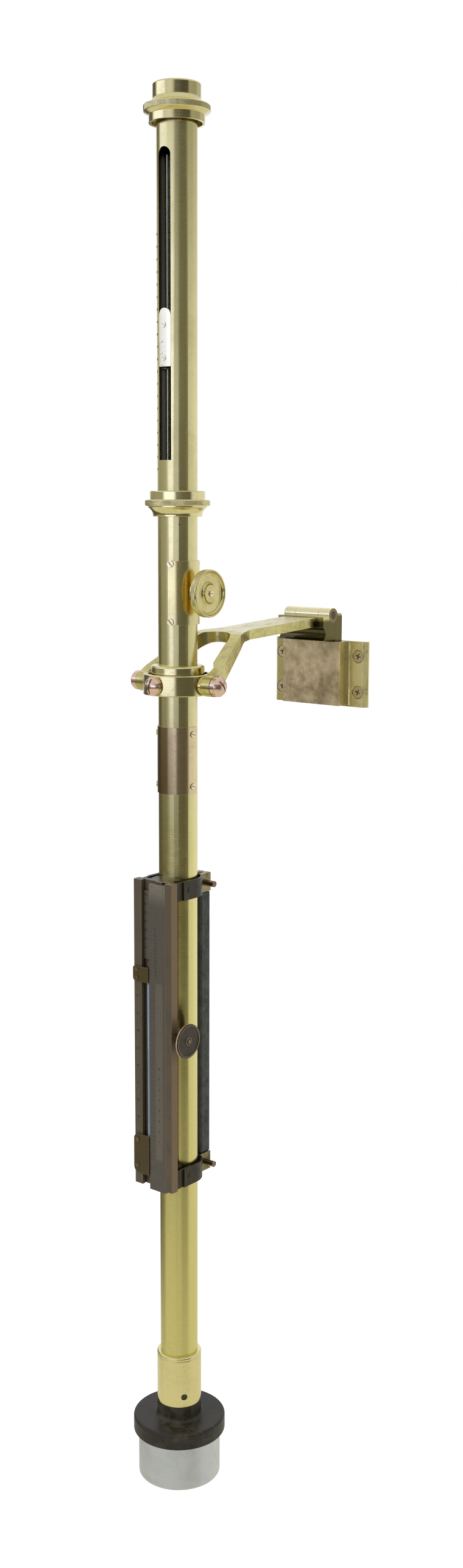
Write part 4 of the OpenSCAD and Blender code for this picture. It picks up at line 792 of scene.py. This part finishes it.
faded_wax = finish("faded_wax", (0.008, 0.007, 0.006), (0.022, 0.019, 0.016), cover=0.4, patches=500,
                   polish=0.5, dull=0.7, metallic=0.0, stretch=(900, 900, 900))
plate_low, plate_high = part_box("slide_plate")
height_top = plate_high.z - 29.5 * mm
height_pitch = 2.4 * mm
height_count = 14
plate_marks = [number_on_face(5 * step, 1.9 * mm, plate_low.x + 5.6 * mm, plate_low.y,
                              height_top - step * height_pitch) for step in range(height_count)]
plate_marks.append(ladder(plate_low.x + 0.4 * mm, plate_low.x + 2.6 * mm, plate_low.y, height_top,
                          height_pitch, height_count, 0.12 * mm))
edge_top = plate_high.z - 70 * mm
edge_pitch = 2.75 * mm
plate_marks.append(ladder(plate_low.x + 0.3 * mm, plate_low.x + 4.2 * mm, plate_low.y, edge_top, edge_pitch,
                          46, 0.1 * mm))
ride_marks(plate_marks, "plate_marks", "slide", faded_wax)

inlay_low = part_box("slide_inlay")[0]
inlay_middle = middle("slide_inlay").x
inlay_zero = inlay_low.z + 6 * mm
inlay_pitch = 7.2 * mm
inlay_marks = [number_on_face(step, 2.3 * mm, inlay_middle, inlay_low.y, inlay_zero + step * inlay_pitch)
               for step in range(1, 9)]
ride_marks(inlay_marks, "inlay_marks", "slide", faded_wax)

rail_right = slide_low.x + 6.3 * mm
rail_face = slide_low.y
rail_pitch = 1.2 * mm
rail_marks = [ladder(rail_right - 1.6 * mm, rail_right - 0.1 * mm, rail_face, slide_high.z - 76 * mm,
                     rail_pitch, 96, 0.1 * mm)]
for step in range(9):
    rail_marks.append(number_on_face(20 + 10 * step, 2.3 * mm, slide_low.x + 2.9 * mm, rail_face,
                                     slide_high.z - 79 * mm - step * 10 * rail_pitch))
ride_marks(rail_marks, "rail_marks", "barometer", faded_wax)


# Slide knob and housing: a small turned knob of the same dark bronze, on the shaft of the slide's pinion.
# Its milled rim is worn to a coppery colour.
slide_knob_bronze = finish("slide_knob_bronze", (0.062, 0.049, 0.027), (0.036, 0.029, 0.018), cover=0.5,
                           patches=120, polish=0.3, dull=0.44, stretch=(400, 400, 400), depth=0.002 * mm,
                           soft=0.5 * mm, rubbed=(0.85, 0.60, 0.34), metallic=0.6, oxide=0.2)
dress(slide_knob_bronze, "slide_knob", "slide_knob_screw")
dress(rack_brass, "slide_pinion", "housing_screws")
grip_low, grip_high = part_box("slide_knob")
grip_centre = middle("slide_knob")
rim_bronze = finish("rim_bronze", (0.88, 0.64, 0.37), (0.52, 0.37, 0.21), cover=0.45, patches=150,
                    polish=0.28, dull=0.42, stretch=(500, 500, 500), soft=0.1 * mm)
grip_rim = Vector((grip_high.x - 1.3 * mm, grip_centre.y, grip_centre.z))
ride(milled_rim(grip_rim, sideways, (grip_high.z - grip_low.z) / 2, 0.7 * mm, 150, crest=0.1 * mm),
     "slide_knob_milling", "slide_drive", rim_bronze)


# Thermometer: a glass stem with a pale blue enamel back, sunk in the slide's channel and held by a clip at
# its head. A brass guard covers its bulb, and its mercury is a hair-fine thread.
enamel = finish("enamel", (0.19, 0.27, 0.37), (0.25, 0.34, 0.43), cover=0.4, patches=40, polish=0.12,
                dull=0.2, stretch=(300, 300, 60), depth=0.002 * mm, metallic=0.0, extra={"Coat Weight": 0.4})
clip_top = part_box("thermometer_clip")[1].z
overlay_box(enamel, (0.05, 0.045, 0.035), low=(-far, -far, clip_top - 3 * mm), soft=0.5 * mm)
dress(enamel, "thermometer")
stem = middle("thermometer")
thread_radius = 0.1 * mm
thread = ruled_line(stem.x - thread_radius, stem.x + thread_radius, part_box("thermometer")[0].y + 0.005 * mm,
                    stem.z - 20 * mm, 70 * mm)
ride(thread, "thermometer_thread", "barometer",
     finish("thread_mercury", (0.25, 0.27, 0.30), (0.15, 0.16, 0.2), polish=0.15, dull=0.3,
            stretch=(90, 90, 90)))
clip_brass = finish("clip_brass", (0.098, 0.072, 0.022), (0.060, 0.044, 0.015), cover=0.5, patches=110,
                    polish=0.34, dull=0.5, stretch=(1200, 1200, 200), depth=0.003 * mm, soft=0.2 * mm,
                    rubbed=(0.42, 0.33, 0.16), metallic=0.6, oxide=0.25)
dress(clip_brass, "thermometer_clip", "bulb_guard")
clip_screw_copper = finish("clip_screw_copper", (0.40, 0.24, 0.15), (0.20, 0.13, 0.08), cover=0.45,
                           patches=400, polish=0.3, dull=0.5, stretch=(2500, 2500, 2500), soft=0.1 * mm,
                           rubbed=(0.75, 0.5, 0.36))
dress(clip_screw_copper, "clip_screws")


# Clamps and balance bar: two blackened bands pull the slide's saddles to the case, each closed by a screw
# through its lug blocks, and an iron bar between the blocks balances the slide's weight.
band_black = finish("band_black", (0.040, 0.032, 0.011), (0.021, 0.017, 0.007), cover=0.5, patches=150,
                    polish=0.32, dull=0.5, stretch=(900, 900, 2500), depth=0.003 * mm, soft=0.2 * mm,
                    rubbed=(0.20, 0.15, 0.10), metallic=0.5, oxide=0.2)
dress(band_black, "clamp_bands", "clamp_rivets", "clamp_saddles")
lug_brass = finish("lug_brass", (0.36, 0.30, 0.14), (0.13, 0.10, 0.05), cover=0.48, patches=130, polish=0.28,
                   dull=0.45, stretch=(1200, 1200, 1200), depth=0.003 * mm, soft=0.3 * mm, rubbed=pale_brass)
dress(lug_brass, "clamp_lugs")
clamp_screw_brass = finish("clamp_screw_brass", (0.36, 0.25, 0.15), (0.16, 0.11, 0.07), cover=0.5,
                           patches=260, polish=0.28, dull=0.45, stretch=(3000, 900, 900), soft=0.3 * mm,
                           rubbed=(0.7, 0.5, 0.3))
dress(clamp_screw_brass, "clamp_screws")
bar_black = finish("bar_black", (0.062, 0.068, 0.056), (0.030, 0.033, 0.027), cover=0.5, patches=160,
                   polish=0.42, dull=0.6, stretch=(900, 900, 300), depth=0.05 * mm, soft=0.5 * mm,
                   rubbed=(0.12, 0.13, 0.11), metallic=0.05, extra={"Specular IOR Level": 0.25})
dress(bar_black, "balance_bar")


# Floor: a plain pale floor 5 cm below the cistern. It is white to the camera, with the object's own soft
# shadow on it.
floor_gap = 50 * mm
deselect()
bpy.ops.mesh.primitive_circle_add(vertices=64, radius=1.1, fill_type="NGON",
                                  location=(0, axis_y, cad_box[0][2] - floor_gap))
floor = bpy.context.object
floor.name = "floor"
floor_white, tree, paint = new_material("floor_white", {"Base Color": (0.92, 0.92, 0.92, 1),
                                                        "Roughness": 0.9})
rays = node(tree, "LightPath").outputs
seen = compute(tree, "MAXIMUM", rays["Is Camera Ray"], rays["Is Transmission Ray"])
lit = node(tree, "Emission", {"Strength": 1.07}).outputs[0]
lit_share = compute(tree, "MULTIPLY", seen, 0.8)
mostly_lit = node(tree, "MixShader", {0: lit_share, 1: paint.outputs[0], 2: lit}).outputs[0]
tree.links.new(mostly_lit, tree.nodes["Material Output"].inputs["Surface"])
floor.data.materials.append(floor_white)
floor.visible_glossy = False


# Studio: a dim room with bright panels of daylight left of the camera, pale walls to the sides and behind, a
# pale ceiling and a pale table. The brass shows these as its long light and dark bands. Angles are in
# degrees, seen from the object: bearings to the right of the camera, and rises above the level.
camera_bearing = radians(-49)
dark_room = (0.10, 0.092, 0.074, 1)
daylight, pale_wall, table = (1.0, 1.05, 1.50), (1.0, 1.02, 1.10), (1.0, 0.985, 0.86)
panels = [  # left, right, bottom, top, level, tint, softness
    (60, 200, -90, 90, 0.78, pale_wall, 7),
    (100, 200, -90, 5, 0.88, pale_wall, 15),
    (58, 115, 9.0, 23, 0.32, table, 14),
    (115, 150, 9.0, 23, 0.48, pale_wall, 14),
    (-112, -60, -8.6, 8, 0.36, table, 8),
    (-112, -56, 8, 23, 1.25, daylight, 8),
    (-60, -10, -8.2, 10.5, 1.40, daylight, 6),
    (-54, -16, 10.0, 23, 0.62, pale_wall, 12),
    (-178, -112, 0.5, 9.5, 0.62, table, 8),
    (-8, 16, 1.5, 10.5, 0.52, pale_wall, 16),
    (16, 48, 1.5, 9.5, 0.24, table, 14),
    (-12, 56, 12.5, 23, 0.02, table, 9),
    (-200, 200, 23, 90, 0.72, pale_wall, 8),
    (-200, -155, -8, 90, 0.90, pale_wall, 10),
    (155, 200, -8, 90, 0.95, pale_wall, 10),
    (-94, -10, -90, -21.5, 0.72, table, 10),
    (-10, 60, -90, -20, 0.62, table, 10),
    (60, 200, -90, -20, 0.70, table, 10),
    (-200, 200, -90, -26.5, 0.72, table, 10),
    (15, 54, -25.5, -20, 0.15, table, 10),
]


def panel():
    """1 inside a stretch of bearings and rises, 0 outside. Soft is half its border, a fifth up and down."""
    tree, given, out = node_group(
        "panel", {"Bearing": ("Float", 0), "Rise": ("Float", 0), "Left": ("Float", 0), "Right": ("Float", 1),
                  "Bottom": ("Float", 0), "Top": ("Float", 1), "Soft": ("Float", 6)}, {"Mask": "Float"})
    mask = 1.0
    for value, low, high, part_soft in (("Bearing", "Left", "Right", 1.0), ("Rise", "Bottom", "Top", 0.2)):
        soft = compute(tree, "MULTIPLY", given["Soft"], part_soft)
        outside = compute(tree, "MULTIPLY", soft, -1.0)
        for more, less in ((given[value], given[low]), (given[high], given[value])):
            inside = compute(tree, "SUBTRACT", more, less)
            share = node(tree, "MapRange", {"Value": inside, "From Min": outside, "From Max": soft},
                         interpolation_type="SMOOTHSTEP").outputs[0]
            mask = compute(tree, "MULTIPLY", share, mask)
    tree.links.new(mask, out["Mask"])
    return tree


GROUPS["panel"] = panel()
world = bpy.data.worlds.new("studio")
bpy.context.scene.world = world
world.use_nodes = True
tree = world.node_tree
way = node(tree, "TexCoord").outputs["Generated"]
turned = node(tree, "Mapping", {"Vector": way, "Rotation": (0, 0, -camera_bearing)}).outputs[0]
toward_camera, to_right, up = node(tree, "SeparateXYZ", {0: turned}).outputs
bearing = compute(tree, "DEGREES", compute(tree, "ARCTAN2", to_right, toward_camera))
rise = compute(tree, "DEGREES", compute(tree, "ARCSINE", up))
level = dark_room
for left, right, bottom, top, shine, tint, softness in panels:
    inside = group(tree, "panel", Bearing=bearing, Rise=rise, Left=left, Right=right, Bottom=bottom, Top=top,
                   Soft=softness).outputs["Mask"]
    level = mix_colours(tree, inside, level, (*(shine * part for part in tint), 1))
rays = node(tree, "LightPath").outputs
reflected = node(tree, "Background", {"Color": level, "Strength": 1.0}).outputs[0]
shining = node(tree, "Background", {"Color": (1, 1, 1, 1), "Strength": 0.75}).outputs[0]
seen = node(tree, "Background", {"Color": (1, 1, 1, 1), "Strength": 1.0}).outputs[0]
bounced = node(tree, "MixShader", {0: rays["Is Glossy Ray"], 1: shining, 2: reflected}).outputs[0]
direct = compute(tree, "MAXIMUM", rays["Is Camera Ray"], rays["Is Transmission Ray"])
whole = node(tree, "MixShader", {0: direct, 1: bounced, 2: seen}).outputs[0]
tree.links.new(whole, tree.nodes["World Output"].inputs["Surface"])

lamps = [  # name, bearing, rise, distance, size, watts
    ("key", -60, 35, 1.6, 1.0, 16),
    ("fill", 70, 15, 1.8, 1.2, 7),
]
for name, lamp_bearing, lamp_rise, distance, size, watts in lamps:
    angle = camera_bearing + radians(lamp_bearing)
    level_share = cos(radians(lamp_rise))
    direction = Vector((cos(angle) * level_share, sin(angle) * level_share, sin(radians(lamp_rise))))
    bpy.ops.object.light_add(type="AREA", location=Vector((0, axis_y, 0)) + direction * distance)
    lamp = bpy.context.object
    lamp.name = name
    lamp.data.size = size
    lamp.data.energy = watts
    lamp.visible_glossy = False
    lamp.rotation_euler = direction.to_track_quat("Z", "Y").to_euler()


# Camera: a long portrait frame. The lens stands above the fork, looks down a little and stands to the right
# of the instrument's front, so that the slot is at its left edge. Frame and focal length are in pixels.
frame_height = 2576
focal_length = 2701
sensor_height = 24
camera_height = 0.1162
camera_distance = 1.060
look_down = radians(9.55)
look_right = radians(1.885)
roll = radians(0.2)
toward = Vector((-cos(camera_bearing), -sin(camera_bearing), 0))
right = Vector((-sin(camera_bearing), cos(camera_bearing), 0))
ahead = toward * cos(look_right) + right * sin(look_right)
right = right * cos(look_right) - toward * sin(look_right)
look = ahead * cos(look_down) - upright * sin(look_down)
upward = upright * cos(look_down) + ahead * sin(look_down)
right, upward = right * cos(roll) + upward * sin(roll), upward * cos(roll) - right * sin(roll)
bpy.ops.object.camera_add()
camera = bpy.context.object
camera.name = "camera"
camera.data.sensor_fit = "VERTICAL"
camera.data.sensor_height = sensor_height
camera.data.lens = sensor_height * focal_length / frame_height
place = Vector((0, axis_y, camera_height)) - toward * camera_distance
camera.matrix_world = Matrix.Translation(place) @ Matrix((right, upward, -look)).transposed().to_4x4()
bpy.context.scene.camera = camera
bpy.context.scene.view_settings.view_transform = "Standard"
